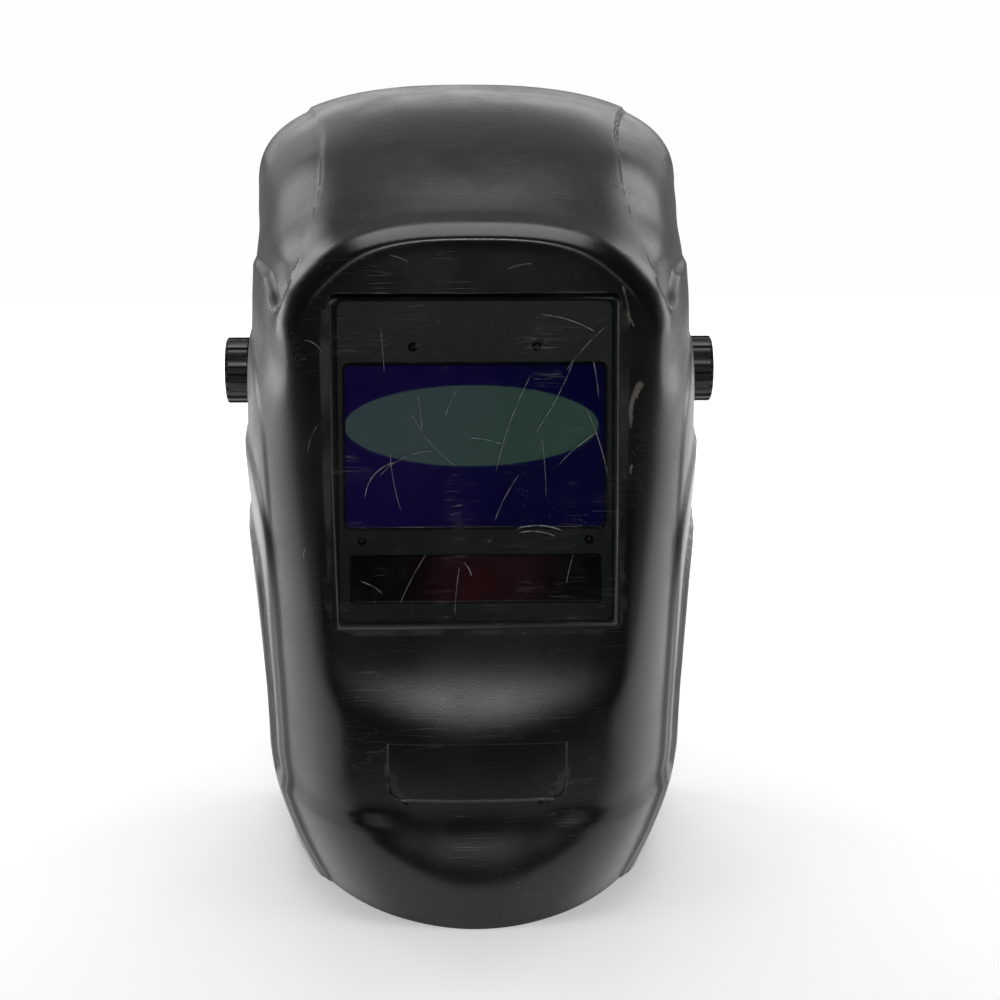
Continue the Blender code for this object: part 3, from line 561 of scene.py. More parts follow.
def carve(thing, cutters, matrix, operation="DIFFERENCE"):
    """Cut shapes, given in a frame in mm, out of a thing, or join them to it."""
    bm = joined(cutters)
    bm.transform(matrix)
    mesh = bpy.data.meshes.new("cutter")
    bm.to_mesh(mesh)
    bm.free()
    cutter = bpy.data.objects.new("cutter", mesh)
    bpy.context.scene.collection.objects.link(cutter)
    modifier = thing.modifiers.new("Cut", "BOOLEAN")
    modifier.operation = operation
    modifier.solver = "EXACT"
    modifier.object = cutter
    settled(thing)
    bpy.data.objects.remove(cutter)
    return thing


def joined(shapes):
    bm = bmesh.new()
    for shape in shapes:
        mesh = bpy.data.meshes.new("part of a cutter")
        shape.to_mesh(mesh)
        shape.free()
        bm.from_mesh(mesh)
        bpy.data.meshes.remove(mesh)
    return bm


def outline(width, height, corner, steps=6):
    """A rounded rectangle, anticlockwise, round its own middle."""
    points = []
    for turn in range(4):
        middle = ((1, 1), (-1, 1), (-1, -1), (1, -1))[turn]
        for step in range(steps + 1):
            angle = math.pi / 2 * (turn + step / steps)
            points.append((middle[0] * (width / 2 - corner) + corner * math.cos(angle),
                           middle[1] * (height / 2 - corner) + corner * math.sin(angle)))
    return points


def bridged(loops):
    """A closed solid through loops of equal count, capped at both ends."""
    bm = bmesh.new()
    rings = [[bm.verts.new(point) for point in loop] for loop in loops]
    count = len(rings[0])
    for low, high in zip(rings, rings[1:]):
        for i in range(count):
            bm.faces.new((low[i], low[(i + 1) % count], high[(i + 1) % count], high[i]))
    bm.faces.new(rings[0][::-1])
    bm.faces.new(rings[-1])
    return bm


def stack(layers):
    """A closed solid through outlines of equal count, each given with its z, from the bottom up."""
    return bridged([[(x, y, z) for x, y in points] for points, z in layers])


def slab(size, centre=(0, 0, 0), corner=0.5, steps=4):
    """A plate with rounded corners; centre is the middle of the plate."""
    points = [(x + centre[0], y + centre[1]) for x, y in outline(size[0], size[1], corner, steps)]
    return stack(((points, centre[2] - size[2] / 2), (points, centre[2] + size[2] / 2)))


def funnel(size, flare, low, high, centre=(0, 0), corner=1.0):
    """A rectangular hole's cutter that widens by flare at its upper end."""
    small = [(x + centre[0], y + centre[1]) for x, y in outline(size[0], size[1], corner)]
    large = [(x + centre[0], y + centre[1]) for x, y in
             outline(size[0] + 2 * flare, size[1] + 2 * flare, corner + flare)]
    return stack(((small, low - 30), (small, low), (large, high), (large, high + 10)))


def lathe(profile, steps=64, at=(0, 0)):
    """A closed solid turned about z from (radius, z) points; a ring if no point is on the axis."""
    bm = bmesh.new()
    rings = []
    for radius, z in profile:
        if radius < 1e-6:
            rings.append([bm.verts.new((at[0], at[1], z))])
        else:
            angles = [2 * math.pi * i / steps for i in range(steps)]
            rings.append([bm.verts.new((at[0] + radius * math.cos(a), at[1] + radius * math.sin(a), z))
                          for a in angles])
    pairs = list(zip(rings, rings[1:]))
    if len(rings[0]) > 1 and len(rings[-1]) > 1:
        pairs.append((rings[-1], rings[0]))
    for a, b in pairs:
        for i in range(steps):
            corners = [a[i % len(a)], a[(i + 1) % len(a)], b[(i + 1) % len(b)], b[i % len(b)]]
            unique = [c for k, c in enumerate(corners) if c not in corners[:k]]
            if len(unique) > 2:
                bm.faces.new(unique)
    bmesh.ops.recalc_face_normals(bm, faces=bm.faces)
    return bm


def arc(centre, radius, start, stop, steps=5):
    angles = [math.radians(start + (stop - start) * i / steps) for i in range(steps + 1)]
    return [(centre[0] + radius * math.cos(a), centre[1] + radius * math.sin(a)) for a in angles]


def disc(radius, low, high, edge=0.4, steps=64, at=(0, 0)):
    """A cylinder with rounded edges."""
    return lathe([(0, low)] + arc((radius - edge, low + edge), edge, -90, 0) +
                 arc((radius - edge, high - edge), edge, 0, 90) + [(0, high)], steps, at)


def knob(radius, low, high, flutes, depth, edge=1.2, bore=0, bore_top=0, dish=0.8, flute_share=0.5):
    """A fluted knob along z: grooves round its side, a rounded rim and a shallow dish on top."""
    profile = [(bore, low)] if bore else [(0, low)]
    profile += [(radius * 0.8, low)] + arc((radius - 0.5, low + 0.5), 0.5, -90, 0, 3)
    side = np.linspace(low + 0.9, high - edge - 0.3, 5)
    profile += [(radius, z) for z in side]
    profile += arc((radius - edge, high - edge), edge, 0, 90, 6)
    rim = radius - edge - 1.6
    profile += [(rim + 0.8, high), (rim, high - 0.15), (rim - 1.0, high - dish), (rim * 0.5, high - dish),
                (0, high - dish)]
    if bore:
        profile += [(0, bore_top), (bore, bore_top)]
    steps = flutes * 14
    bm = lathe(profile, steps)
    for vert in bm.verts:
        here = math.hypot(vert.co.x, vert.co.y)
        if here < radius - edge * 1.1:
            continue
        phase = (math.atan2(vert.co.y, vert.co.x) / (2 * math.pi) * flutes) % 1
        groove = float(smooth((0.5 * flute_share + 0.08 - abs(phase - 0.5)) / 0.12))
        reach = float(smooth((high - edge * 0.1 - vert.co.z) / (edge * 0.9)))
        vert.co.xy *= (here - depth * groove * reach) / here
    return bm


# ---- Shell

WALL = 2.8
SEAT_X = 100.5
SEAT_RADIUS = 19
RIM_BELOW = 8
ROWS = 262
COLUMNS = 178
MUZZLE_BOW = 420              # twice the radius the muzzle and chin curve round
SCOOP_TIP = -121
PLATE_EDGE = 3.2
SWELLS = ((45, 24, 1.2), (230, 18, -2.2), (272, 20, 0.9))     # height, spread and rise on the sides
NAMEPLATE_DEPTH = 0.9
OPENING_GAP = 1.0
OPENING_CORNER = 2.5
BOLT_PASSAGE = 4.2

# Sections of the shell from the crown's rear edge to the chin:
# front y, front z, rear y, rear z, half-width at the rear edge, squareness
SECTIONS = (
    (62, 334, 58, 288, 102.5, 2.45),
    (8, 327, 57, 277, 102, 2.45),
    (-48, 313, 55, 267, 101, 2.55),
    (-100, 291, 52, 256, 99.5, 2.7),
    (-140, 268, 47, 243, 100, 2.95),
    (-161, 236, 43, 222, 102, 3.1),
    (-167, 186, 38, 184, 102.5, 2.95),
    (-173, 120, 24, 120, 98.5, 2.9),
    (-176, 60, 6, 60, 92, 2.9),
    (-175, 0, -8, 0, 86.5, 1.95),
    (-175, -RIM_BELOW, -9, -RIM_BELOW, 86, 1.95),
)

# Edges of the temple scoops: y, then the half-width of the crown panel and the height of the cheek
CROWN_LINE = ((-130, -118, -106, -88, -61, -28, 30, 62), (82, 76, 71.5, 68, 65.7, 66, 71.5, 77))
CHEEK_LINE = ((-130, -115, -98, -82, -50, 0, 60), (243, 245, 252, 257, 258.5, 255, 246))


def smooth(t):
    t = np.clip(t, 0, 1)
    return t * t * (3 - 2 * t)


def step(distance, width):
    """0 to 1 across a step of that width."""
    return smooth(distance / width + 0.5)


def through(xs, ys, x):
    """Smooth curve through points that never overshoots them."""
    xs = np.asarray(xs, float)
    ys = np.asarray(ys, float)
    slope = np.diff(ys) / np.diff(xs)
    tangent = np.zeros_like(ys)
    same = slope[:-1] * slope[1:]
    total = np.where(same > 0, slope[:-1] + slope[1:], 1)
    tangent[1:-1] = np.where(same > 0, 2 * same / total, 0)
    tangent[0] = slope[0]
    tangent[-1] = slope[-1]
    x = np.clip(x, xs[0], xs[-1])
    i = np.clip(np.searchsorted(xs, x) - 1, 0, len(xs) - 2)
    width = xs[i + 1] - xs[i]
    t = (x - xs[i]) / width
    ends = (1 + 2 * t) * (1 - t) ** 2 * ys[i] + t * t * (3 - 2 * t) * ys[i + 1]
    return ends + t * (1 - t) ** 2 * width * tangent[i] - t * t * (1 - t) * width * tangent[i + 1]


def soft_max(a, b, k):
    return (a + b + np.sqrt((a - b) ** 2 + k * k)) / 2


def soft_min(a, b, k):
    return (a + b - np.sqrt((a - b) ** 2 + k * k)) / 2


def front_y(x, z):
    """The shell's front: window panel, muzzle sloping out below it, and the flare of the chin."""
    bow = np.clip(np.abs(x) - 60, 0, None) ** 2 / 60
    panel = WINDOW_Y + (z - WINDOW_Z) * math.tan(math.radians(WINDOW_TILT)) + bow
    round_muzzle = -166 + x * x / MUZZLE_BOW
    ramp = -152 - (104 - z) * 0.52
    muzzle = soft_max(round_muzzle, ramp, 6)
    chin = -165 - (45 - z) * 0.42 + x * x / MUZZLE_BOW
    return soft_min(soft_min(panel, muzzle, 5), chin, 1.5)


def packed(count, centre, spread, gain):
    """Places from 0 to 1 that lie closer together round the centre."""
    fine = np.linspace(0, 1, 2000)
    density = 1 + gain * np.exp(-((fine - centre) / spread) ** 2)
    run = np.concatenate([[0], np.cumsum((density[1:] + density[:-1]) / 2)])
    return np.interp(np.linspace(0, run[-1], count), run, fine)


def egg(columns, rows):
    """Grid of points on the plain shell, (rows, columns, 3), from the crown down to the chin."""
    sections = np.array(SECTIONS, float)
    down = packed(rows, 0.42, 0.09, 1.6)
    places = np.linspace(0, 1, len(sections))
    table = [through(places, sections[:, k], down) for k in range(sections.shape[1])]
    half_columns = packed(columns // 2, 0.42, 0.16, 1.2)
    across = np.concatenate([-half_columns[::-1], half_columns[1:]])
    angle = np.linspace(0, math.pi / 2, 400)
    grid = np.zeros((rows, len(across), 3))
    for row, (front, top, rear, edge, half, square) in enumerate(zip(*table)):
        aside = half * np.sin(angle) ** (2 / square)
        ahead = np.cos(angle) ** (2 / square)
        line = np.stack([aside, rear + (front - rear) * ahead, edge + (top - edge) * ahead], -1)
        length = np.concatenate([[0], np.cumsum(np.linalg.norm(np.diff(line, axis=0), axis=1))])
        for k in range(3):
            grid[row, :, k] = np.interp(np.abs(across) * length[-1], length, line[:, k])
        grid[row, :, 0] *= np.sign(across)
    return grid


def outward(grid):
    normal = np.cross(np.gradient(grid, axis=0), np.gradient(grid, axis=1))
    normal /= np.linalg.norm(normal, axis=-1, keepdims=True)
    normal[:, 0] = normal[:, 1]
    normal[:, -1] = normal[:, -2]
    return normal


def temple_scoops(x, y, z):
    """1 in the hollow at each temple, between the crown panel and the cheek."""
    inner = step(x - through(*CROWN_LINE, y), 2.4)
    lower = step(z - through(*CHEEK_LINE, y), 5)
    return inner * lower * smooth((y - SCOOP_TIP) / 9)


def gill(y, z, front, top):
    """Above 0 inside the cheek plate whose edge runs up at y = -front and back at z = top."""
    power = 7
    a = np.clip((60 - y) / (60 + front), 0, None)
    b = np.clip(z / top, 0, None)
    return (1 - (a ** power + b ** power) ** (1 / power)) * 0.5 * (60 + front + top)


def cheek_plates(x, y, z):
    """The three cheek plates: each steps out at its edge and sinks back to the next one."""
    lowest = soft_max(gill(y, z, 104, 146), 44 - z, 6)
    raised = 0
    for edge, height, fade, inner in ((gill(y, z, 118, 226), 0.8, 26, 52),
                                      (gill(y, z, 123, 182), 1.5, 36, 52), (lowest, 2.4, 56, 24)):
        plate = height * step(edge, PLATE_EDGE) * (1 - smooth((edge - 2) / fade))
        raised = raised + plate * smooth((x - inner) / 20)
    return raised


def shell_surface():
    grid = egg(COLUMNS, ROWS)
    z = grid[..., 2]
    front = front_y(grid[..., 0], z)
    behind = grid[..., 1] - front
    crisp = 1.0 + 2.2 * (1 - smooth((z - 205) / 40))
    grid[..., 1] = soft_max(grid[..., 1], front, crisp)
    x = np.abs(grid[..., 0])
    y = grid[..., 1]
    rise = (-1.4 - 1.8 * (1 - smooth((y + 75) / 50))) * temple_scoops(x, y, z)
    aside = smooth((x - 70) / 15)
    for height, spread, swell in SWELLS:
        rise = rise + swell * np.exp(-((z - height) / spread) ** 2) * aside
    rise = rise + 1.6 * np.exp(-((behind - 6.5) / 6.5) ** 2) * smooth((z - 215) / 30)
    rise = rise + cheek_plates(x, y, z)
    grid = grid + outward(grid) * rise[..., None]
    from_pivot = np.hypot(grid[..., 1], grid[..., 2] - PIVOT_Z)
    flat = (1 - smooth((from_pivot - SEAT_RADIUS) / 12)) * (np.abs(grid[..., 0]) > 60)
    grid[..., 0] += (np.sign(grid[..., 0]) * SEAT_X - grid[..., 0]) * flat
    return grid


def score(bm, matrix, points, depth=14):
    """Cut the faces near a convex outline along it, and return the faces inside it."""
    inverse = matrix.inverted()
    sides = [(Vector(a), Vector(b)) for a, b in zip(points, points[1:] + points[:1])]
    for a, b in sides:
        along = b - a
        middle = (a + b) / 2
        near = []
        for face in bm.faces:
            centre = inverse @ face.calc_center_median()
            if abs(centre.z) > depth:
                continue
            across = centre.xy - middle
            if abs(across.dot(along.normalized())) < along.length / 2 + 3.5:
                if abs(across.cross(along.normalized())) < 4:
                    near.append(face)
        geometry = set(near)
        for face in near:
            geometry.update(face.edges)
            geometry.update(face.verts)
        normal = (matrix.to_3x3() @ Vector((along.y, -along.x, 0))).normalized()
        bmesh.ops.bisect_plane(bm, geom=list(geometry), dist=1e-4, plane_co=matrix @ a.to_3d(),
                               plane_no=normal)
    inside = []
    for face in bm.faces:
        centre = inverse @ face.calc_center_median()
        if abs(centre.z) > depth:
            continue
        if all((b - a).cross(centre.xy - a) > 0 for a, b in sides):
            inside.append(face)
    return inside


def circle(radius, steps):
    return [(radius * math.cos(2 * math.pi * i / steps), radius * math.sin(2 * math.pi * i / steps))
            for i in range(steps)]


def nameplate_outline(inset):
    """The blank recess on the chin: square above, with rounded corners below."""
    half = 36.5 - inset
    top = 75 - inset
    low = 51 + inset
    corner = 6 - inset
    points = [(half, top), (-half, top)]
    points += arc((-half + corner, low + corner), corner, 180, 270, 4)
    points += arc((half - corner, low + corner), corner, 270, 360, 4)
    return points


def make_shell():
    grid = shell_surface()
    rows, columns = grid.shape[:2]
    bm = bmesh.new()
    verts = [bm.verts.new(point) for point in grid.reshape(-1, 3)]
    for row in range(rows - 1):
        for column in range(columns - 1):
            i = row * columns + column
            bm.faces.new((verts[i], verts[i + columns], verts[i + columns + 1], verts[i + 1]))
    to_mm = HELMET.inverted()
    lens_width = size_of("cover_lens").x
    opening = outline(lens_width + 2 * OPENING_GAP, LENS_HEIGHT + 2 * OPENING_GAP, OPENING_CORNER, 3)
    bmesh.ops.delete(bm, geom=score(bm, to_mm @ WINDOW, opening), context="FACES")
    for side in PIVOTS:
        seat = to_mm @ PIVOTS[side] @ Matrix.Translation((0, 0, SEAT_X))
        bmesh.ops.delete(bm, geom=score(bm, seat, circle(BOLT_PASSAGE, 20)), context="FACES")
    chin = Matrix.Translation((0, -165, 0)) @ turned(90, "X")
    score(bm, chin, nameplate_outline(0), 30)
    sunk = {v for face in score(bm, chin, nameplate_outline(0.8), 30) for v in face.verts}
    for vert in sunk:
        vert.co.y += NAMEPLATE_DEPTH
    loose = [v for v in bm.verts if not v.link_faces]
    bmesh.ops.delete(bm, geom=loose, context="VERTS")
    shell = show("shell_moulding", bm, HELMET, "shell", "black_nylon", ["shell"], FINISHES["shell_nylon"], 40)
    kept = bpy.data.collections[KEPT_FROM_FILL]
    kept.objects.link(shell)
    kept.collection_objects[0].light_linking.link_state = "EXCLUDE"
    wall = shell.modifiers.new("Wall", "SOLIDIFY")
    wall.thickness = WALL * MM
    wall.offset = -1
    settled(shell)
    for vert in shell.data.vertices:
        vert.co.z = max(vert.co.z, 0)
    shell.data.set_sharp_from_angle(angle=math.radians(40))
    rounded(shell, 0.45, 2, 60)


# ---- Cartridge in the window

BEZEL_FRONT = -4.2
BEZEL = (122, 141, 2.6)
RIDGE = (110.4, 129.4)        # raised line round the cover lens
VIEW = (105, 66)
VIEW_Y = 6.5
SOLAR = (101, 19)
SOLAR_Y = -47.4
SENSORS = ((-25, 46.5), (25, 46.5), (-46, -31.7), (46, -31.7))
CASE_BACK = -23


def make_cartridge():
    front = BEZEL_FRONT
    back = front - BEZEL[2]
    bezel = show("bezel_frame", slab(BEZEL, (0, 0, (front + back) / 2), 10, 8), WINDOW,
                 "shell", "case_plastic", ["cartridge_bezel"])
    round_lens = outline(*RIDGE, 3)
    carve(bezel, [stack(((round_lens, front - 0.5), (round_lens, front + 0.12)))], WINDOW, "UNION")
    inside = outline(RIDGE[0] - 1, RIDGE[1] - 1, 2.6)
    carve(bezel, [stack(((inside, front), (inside, front + 0.4)))], WINDOW)
    holes = [funnel(VIEW, 0.9, front - 0.9, front, (0, VIEW_Y), 2),
             funnel(SOLAR, 0.6, front - 0.6, front, (0, SOLAR_Y), 1)]
    bore = [(0, front - 12), (1.5, front - 12), (1.5, front - 0.5), (2.1, front + 0.1), (2.1, front + 2),
            (0, front + 2)]
    holes += [lathe(bore, 24, at) for at in SENSORS]
    carve(bezel, holes, WINDOW)
    rounded(bezel, 0.12, 2)

    sheet = slab((size_of("cover_lens").x, LENS_HEIGHT, 1.0), (0, 0, -LENS_DEPTH), 2.5, 6)
    rounded(show("cover_lens_sheet", sheet, WINDOW, "shell", "clear_polycarbonate", ["cover_lens"],
                 FINISHES["cover_lens"]), 0.15, 2)

    glass = slab((VIEW[0] + 3, VIEW[1] + 3, 3.5), (0, VIEW_Y, back - GAP - 1.75), 1, 4)
    plate = rounded(show("filter_plate", glass, WINDOW, "shell", "filter_glass",
                         ["filter_glass"]), 0.3, 3)
    bpy.data.collections["glass"].objects.link(plate)
    eye = [(0, -10.2), (1.3, -10.2), (1.3, -5.7)] + arc((0, -5.7), 1.3, 0, 90, 8)[1:-1] + [(0, -4.45)]
    for number, at in enumerate(SENSORS, 1):
        show("sensor_eye_%d" % number, lathe(eye, 32, at), WINDOW, "shell", "sensor_lens",
             ["light_sensor_%d" % number])


def refined(node, slot, width=0.4, segments=2):
    """A CAD piece of the right shape, with its edges rounded."""
    bm = bmesh.new()
    bm.from_mesh(frame["nodes"][node].data)
    bmesh.ops.remove_doubles(bm, verts=bm.verts, dist=0.000005)
    bmesh.ops.dissolve_limit(bm, angle_limit=math.radians(1), verts=bm.verts, edges=bm.edges)
    thing = show(node + "_fine", bm, Matrix.Identity(4), body_of(node), slot, [node])
    return rounded(thing, width, segments, 30)


def body_of(node):
    return next(body for body, nodes in frame["record"]["behaviour"]["bodies"].items() if node in nodes)


# ---- Controls on the back of the cartridge

SHADE_AT = (0, -48)
SENSITIVITY_AT = (-40, 52.5)
DELAY_AT = (40, 52.5)
BUTTON_AT = (-14, 53)
SWITCH_AT = (10, 53)
DIAL_STEM = 2.4
LARGE_DIAL = (10, 7.5)
SMALL_DIAL = (6.5, 6)
NUMBER_HEIGHT = 3.2
SCALE_SWEEP = 270


def behind(at, turn=0):
    """The frame of a control on the cartridge's back: z points to the wearer, y up."""
    place = Matrix.Translation((*at, CASE_BACK))
    return WINDOW @ place @ Matrix.Rotation(math.pi, 4, "Y") @ turned(turn, "Z")


def dial(name, node, at, radius, height, body):
    place = behind(at, SCALE_SWEEP / 2)
    grip = knob(radius, GAP, height, 16, 0.55, 0.8, 0, 0, 0.5, 0.45)
    thing = show(name, grip, place, body, "knob_plastic", [node])
    carve(thing, [disc(DIAL_STEM, -6, 1.2, 0.2, 32)], place, "UNION")
    carve(thing, [slab((0.9, radius * 0.75, 1.2), (0, radius * 0.55, height), 0.3)], place)
    mark = slab((0.6, radius * 0.68, 0.35), (0, radius * 0.55, height - 0.75), 0.2)
    show(name + "_pointer", mark, place, body, "grey_plastic", material=FINISHES["white_paint"])


def tick_scale(name, at, radius, count, numbers=()):
    """Raised graduations round a dial, with plain numbers beside the main ones."""
    marks = []
    for i in range(count):
        angle = math.radians(90 + SCALE_SWEEP / 2 - SCALE_SWEEP * i / (count - 1))
        length = 2.2 if i % 2 == 0 else 1.3
        bar = slab((length, 0.35, 0.3), (radius + length / 2, 0, 0.1), 0.1, 2)
        bar.transform(Matrix.Rotation(angle, 4, "Z"))
        marks.append(bar)
    show(name, joined(marks), behind(at), "shell", "grey_plastic", material=FINISHES["white_paint"])
    for i, number in enumerate(numbers):
        angle = math.radians(90 + SCALE_SWEEP / 2 - SCALE_SWEEP * i / (len(numbers) - 1))
        text = bpy.data.curves.new("number", "FONT")
        text.body = str(number)
        text.size = NUMBER_HEIGHT
        text.extrude = 0.08
        text.align_x = "CENTER"
        text.align_y = "CENTER"
        figure = bpy.data.objects.new("number", text)
        bpy.context.scene.collection.objects.link(figure)
        mesh = mesh_of_text(figure)
        bm = bmesh.new()
        bm.from_mesh(mesh)
        bpy.data.meshes.remove(mesh)
        reach = radius + 4.6
        bm.transform(Matrix.Translation((reach * math.cos(angle), reach * math.sin(angle), 0.08)))
        show("%s_%d" % (name, number), bm, behind(at), "shell", "grey_plastic",
             material=FINISHES["white_paint"])


def mesh_of_text(thing):
    bpy.context.view_layer.update()
    graph = bpy.context.evaluated_depsgraph_get()
    mesh = bpy.data.meshes.new_from_object(thing.evaluated_get(graph))
    bpy.data.objects.remove(thing)
    return mesh


def make_case():
    case = settled(refined("cartridge_case", "case_plastic", 0.5, 3))
    recesses = [slab((32, 11, 0.8), (side * 36, -51.5, 0), 1.5) for side in (-1, 1)]
    carve(case, recesses, behind((0, 0)))
    seat = lathe([(10.9, -0.4), (11.6, -0.4), (11.6, 0.5), (10.9, 0.5)], 64)
    carve(case, [seat], behind(SHADE_AT), "UNION")
    for at in (SENSITIVITY_AT, DELAY_AT):
        carve(case, [lathe([(7.3, -0.4), (7.9, -0.4), (7.9, 0.45), (7.3, 0.45)], 48)], behind(at), "UNION")
    dial("shade_knob", "shade_dial", SHADE_AT, *LARGE_DIAL, "shade")
    dial("sensitivity_knob", "sensitivity_dial", SENSITIVITY_AT, *SMALL_DIAL, "sensitivity")
    dial("delay_knob", "delay_dial", DELAY_AT, *SMALL_DIAL, "delay")
    tick_scale("shade_scale", SHADE_AT, 12.2, 9, (9, 10, 11, 12, 13))
    tick_scale("sensitivity_scale", SENSITIVITY_AT, 8.4, 7)
    tick_scale("delay_scale", DELAY_AT, 8.4, 7)

    cap = [(0, -4), (3.2, -4), (3.2, 1.6)] + arc((2.6, 1.6), 0.6, 0, 90, 4)[1:] + [(1.8, 2.2), (0, 1.85)]
    show("test_button_cap", lathe(cap, 40), behind(BUTTON_AT), "button", "grey_plastic", ["test_button"])
    switch = settled(refined("grind_switch", "grey_plastic", 0.25, 2))
    grooves = [slab((0.35, 3, 1), (0.75 * i, 0, 3.1), 0.1, 1) for i in (-1, 0, 1)]
    carve(switch, grooves, behind(SWITCH_AT))
    refined("inner_cover_lens", "clear_polycarbonate", 0.15)
    refined("solar_panel", "solar_cell", 0.1)
    refined("circuit_board", "circuit_board", 0.1)
    for side in ("left", "right"):
        refined("battery_tray_" + side, "grey_plastic", 0.35, 3)
        make_cell(side)


def make_cell(side):
    """A coin cell: a can with a rolled rim round a smaller lid."""
    node = "coin_cell_" + side
    low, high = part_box(node)
    middle = WINDOW.inverted() @ ((low + high) / 2)
    radius = (high - low).x / 2 / MM
    half = 2.5
    profile = [(0, -half), (radius - 1.2, -half)] + arc((radius - 0.8, -half + 0.8), 0.8, -90, 0, 4)
    profile += [(radius, half - 1.2)] + arc((radius - 0.5, half - 1.2), 0.5, 0, 90, 4)
    profile += [(radius - 1.1, half - 0.9), (radius - 1.5, half - 0.3), (radius - 2.1, half), (0, half)]
    show("coin_cell_can_" + side, lathe(profile, 72), WINDOW @ Matrix.Translation(middle), body_of(node),
         "steel", [node])


def make_bay():
    refined("cartridge_bay", "black_nylon", 0.5, 2)
    retainer = settled(refined("retainer_frame", "black_nylon", 0.6, 3))
    grip = [slab((20, 0.7, 0.8), (0, -75.5 - 1.6 * i, -27.9), 0.2, 1) for i in range(3)]
    carve(retainer, grip, WINDOW)
    refined("hinge_pin", "steel", 0.3)


# ---- Pivots

KNOB_RADIUS = 15.5
KNOB_X = (102.5, 113.2)
KNOB_BORE = (4.6, 2.2)        # radius, and depth below the rim
ARM_WINDOW = (4.2, 26, 3)
ARM_WINDOW_AT = (20.5, 82.9)

# Turned profiles of the washers, as (radius, distance from the helmet's middle)
OUTER_WASHER = ([(3.4, 100.8)] + arc((10.6, 101.2), 0.4, -90, 0, 3) +
                arc((10.6, 101.8), 0.4, 0, 90, 3) + [(3.4, 102.2)])
INNER_WASHER = ([(3.4, 95.0)] + arc((13.5, 95.5), 0.5, -90, 0, 3) + arc((13.5, 96.8), 0.5, 0, 90, 3) +
                [(9, 97.3), (8.4, 96.9), (6.2, 96.9), (5.6, 97.3), (3.4, 97.3)])
BOLT_HEAD = (78.6, 81.4)
SOCKET_RADIUS = 2.3
SOCKET_DEPTH = 1.9


def make_pivots():
    for side in ("left", "right"):
        place = PIVOTS[side]
        bore, bore_top = KNOB_BORE[0], KNOB_X[1] - KNOB_BORE[1]
        grip = knob(KNOB_RADIUS, *KNOB_X, 20, 1.0, 1.5, bore, bore_top, 1.2, 0.42)
        rounded(show("tension_grip_" + side, grip, place, "knob_" + side, "knob_plastic",
                     ["tension_knob_" + side]), 0.2, 1, 40)
        show("spring_washer_" + side, lathe(OUTER_WASHER, 64), place, "washer_" + side, "grey_plastic",
             ["outer_washer_" + side])
        show("friction_washer_" + side, lathe(INNER_WASHER, 72), place, "shell", "grey_plastic",
             ["inner_washer_" + side])
        arm = settled(refined("pivot_arm_" + side, "strap_plastic", 0.6, 3))
        lever = 1 if side == "right" else -1
        opening = slab(ARM_WINDOW, (lever * ARM_WINDOW_AT[0], 0, ARM_WINDOW_AT[1]), 1.2)
        carve(arm, [opening], gear_side(side))
        bolt = settled(refined("pivot_bolt_" + side, "steel", 0.35, 2))
        hexagon = circle(SOCKET_RADIUS, 6)
        socket = stack(((hexagon, BOLT_HEAD[0] - 1), (hexagon, BOLT_HEAD[0] + SOCKET_DEPTH)))
        carve(bolt, [socket], place)
        refined("knob_insert_" + side, "brass", 0.2)
    refined("pivot_spacer_left", "grey_plastic", 0.4)
    refined("angle_stop_lever", "grey_plastic", 0.5, 3)
    refined("stop_peg", "black_nylon", 0.4)


def gear_side(side):
    """The headgear's frame turned so that z points outwards along the pivot axis."""
    return GEAR @ turned(PIVOT_TURNS[side], "Y")


# ---- Headgear

HEAD_HALF_WIDTH = 78
HEAD_HALF_LENGTH = 97
HEAD_Y = 15
HEAD_SQUARENESS = 2.4
BAND_Z = 20
BAND_THICKNESS = 1.8
BAND_HEIGHT = 24
REAR_BAND_HEIGHT = 18
REAR_BAND_THICKNESS = 1.6
SWEATBAND = (30, 3.4)
BEAD = 0.35
VENT = (11, 4.5)
VENT_PITCH = 21
RIB_SLOT = (2.6, 9.5)
RIB_PITCH = 6.5
CUSHION_PITCH = 14
SEAM_INSET = 3
STITCH = (1.15, 0.28, 0.28)
STITCH_PITCH = 3.2
STITCH_START = 7
NAPE_PAD = (78, 36)
NAPE_DEPTH = (94.6, 100.6)
CROWN_Y = 20
CROWN_WIDTH = 18
CROWN_HALF_WIDTH = 79.9
CROWN_END_Z = 13
CROWN_BASE_Z = 38
CROWN_RISE = 60
CROWN_THICKNESS = 1.4
CROWN_HOLE = 4.6
CROWN_HOLE_PITCH = 10.5
HOUSING_BACK = 123
RATCHET_KNOB = (19, 14.5)


def head_outline(start, stop, steps, offset=0):
    """Points and outward directions round the head; 0 is the brow and 180 the nape, on the +x side."""
    angle = np.radians(np.linspace(start, stop, steps + 1))
    power = 2 / HEAD_SQUARENESS
    x = HEAD_HALF_WIDTH * np.sign(np.sin(angle)) * np.abs(np.sin(angle)) ** power
    y = HEAD_Y - HEAD_HALF_LENGTH * np.sign(np.cos(angle)) * np.abs(np.cos(angle)) ** power
    points = np.stack([x, y], -1)
    along = np.gradient(points, axis=0)
    across = np.stack([along[:, 1], -along[:, 0]], -1)
    across /= np.linalg.norm(across, axis=1, keepdims=True)
    middle = len(points) // 2
    if np.dot(across[middle], points[middle] - (0, HEAD_Y)) < 0:
        across = -across
    return points + across * offset, across


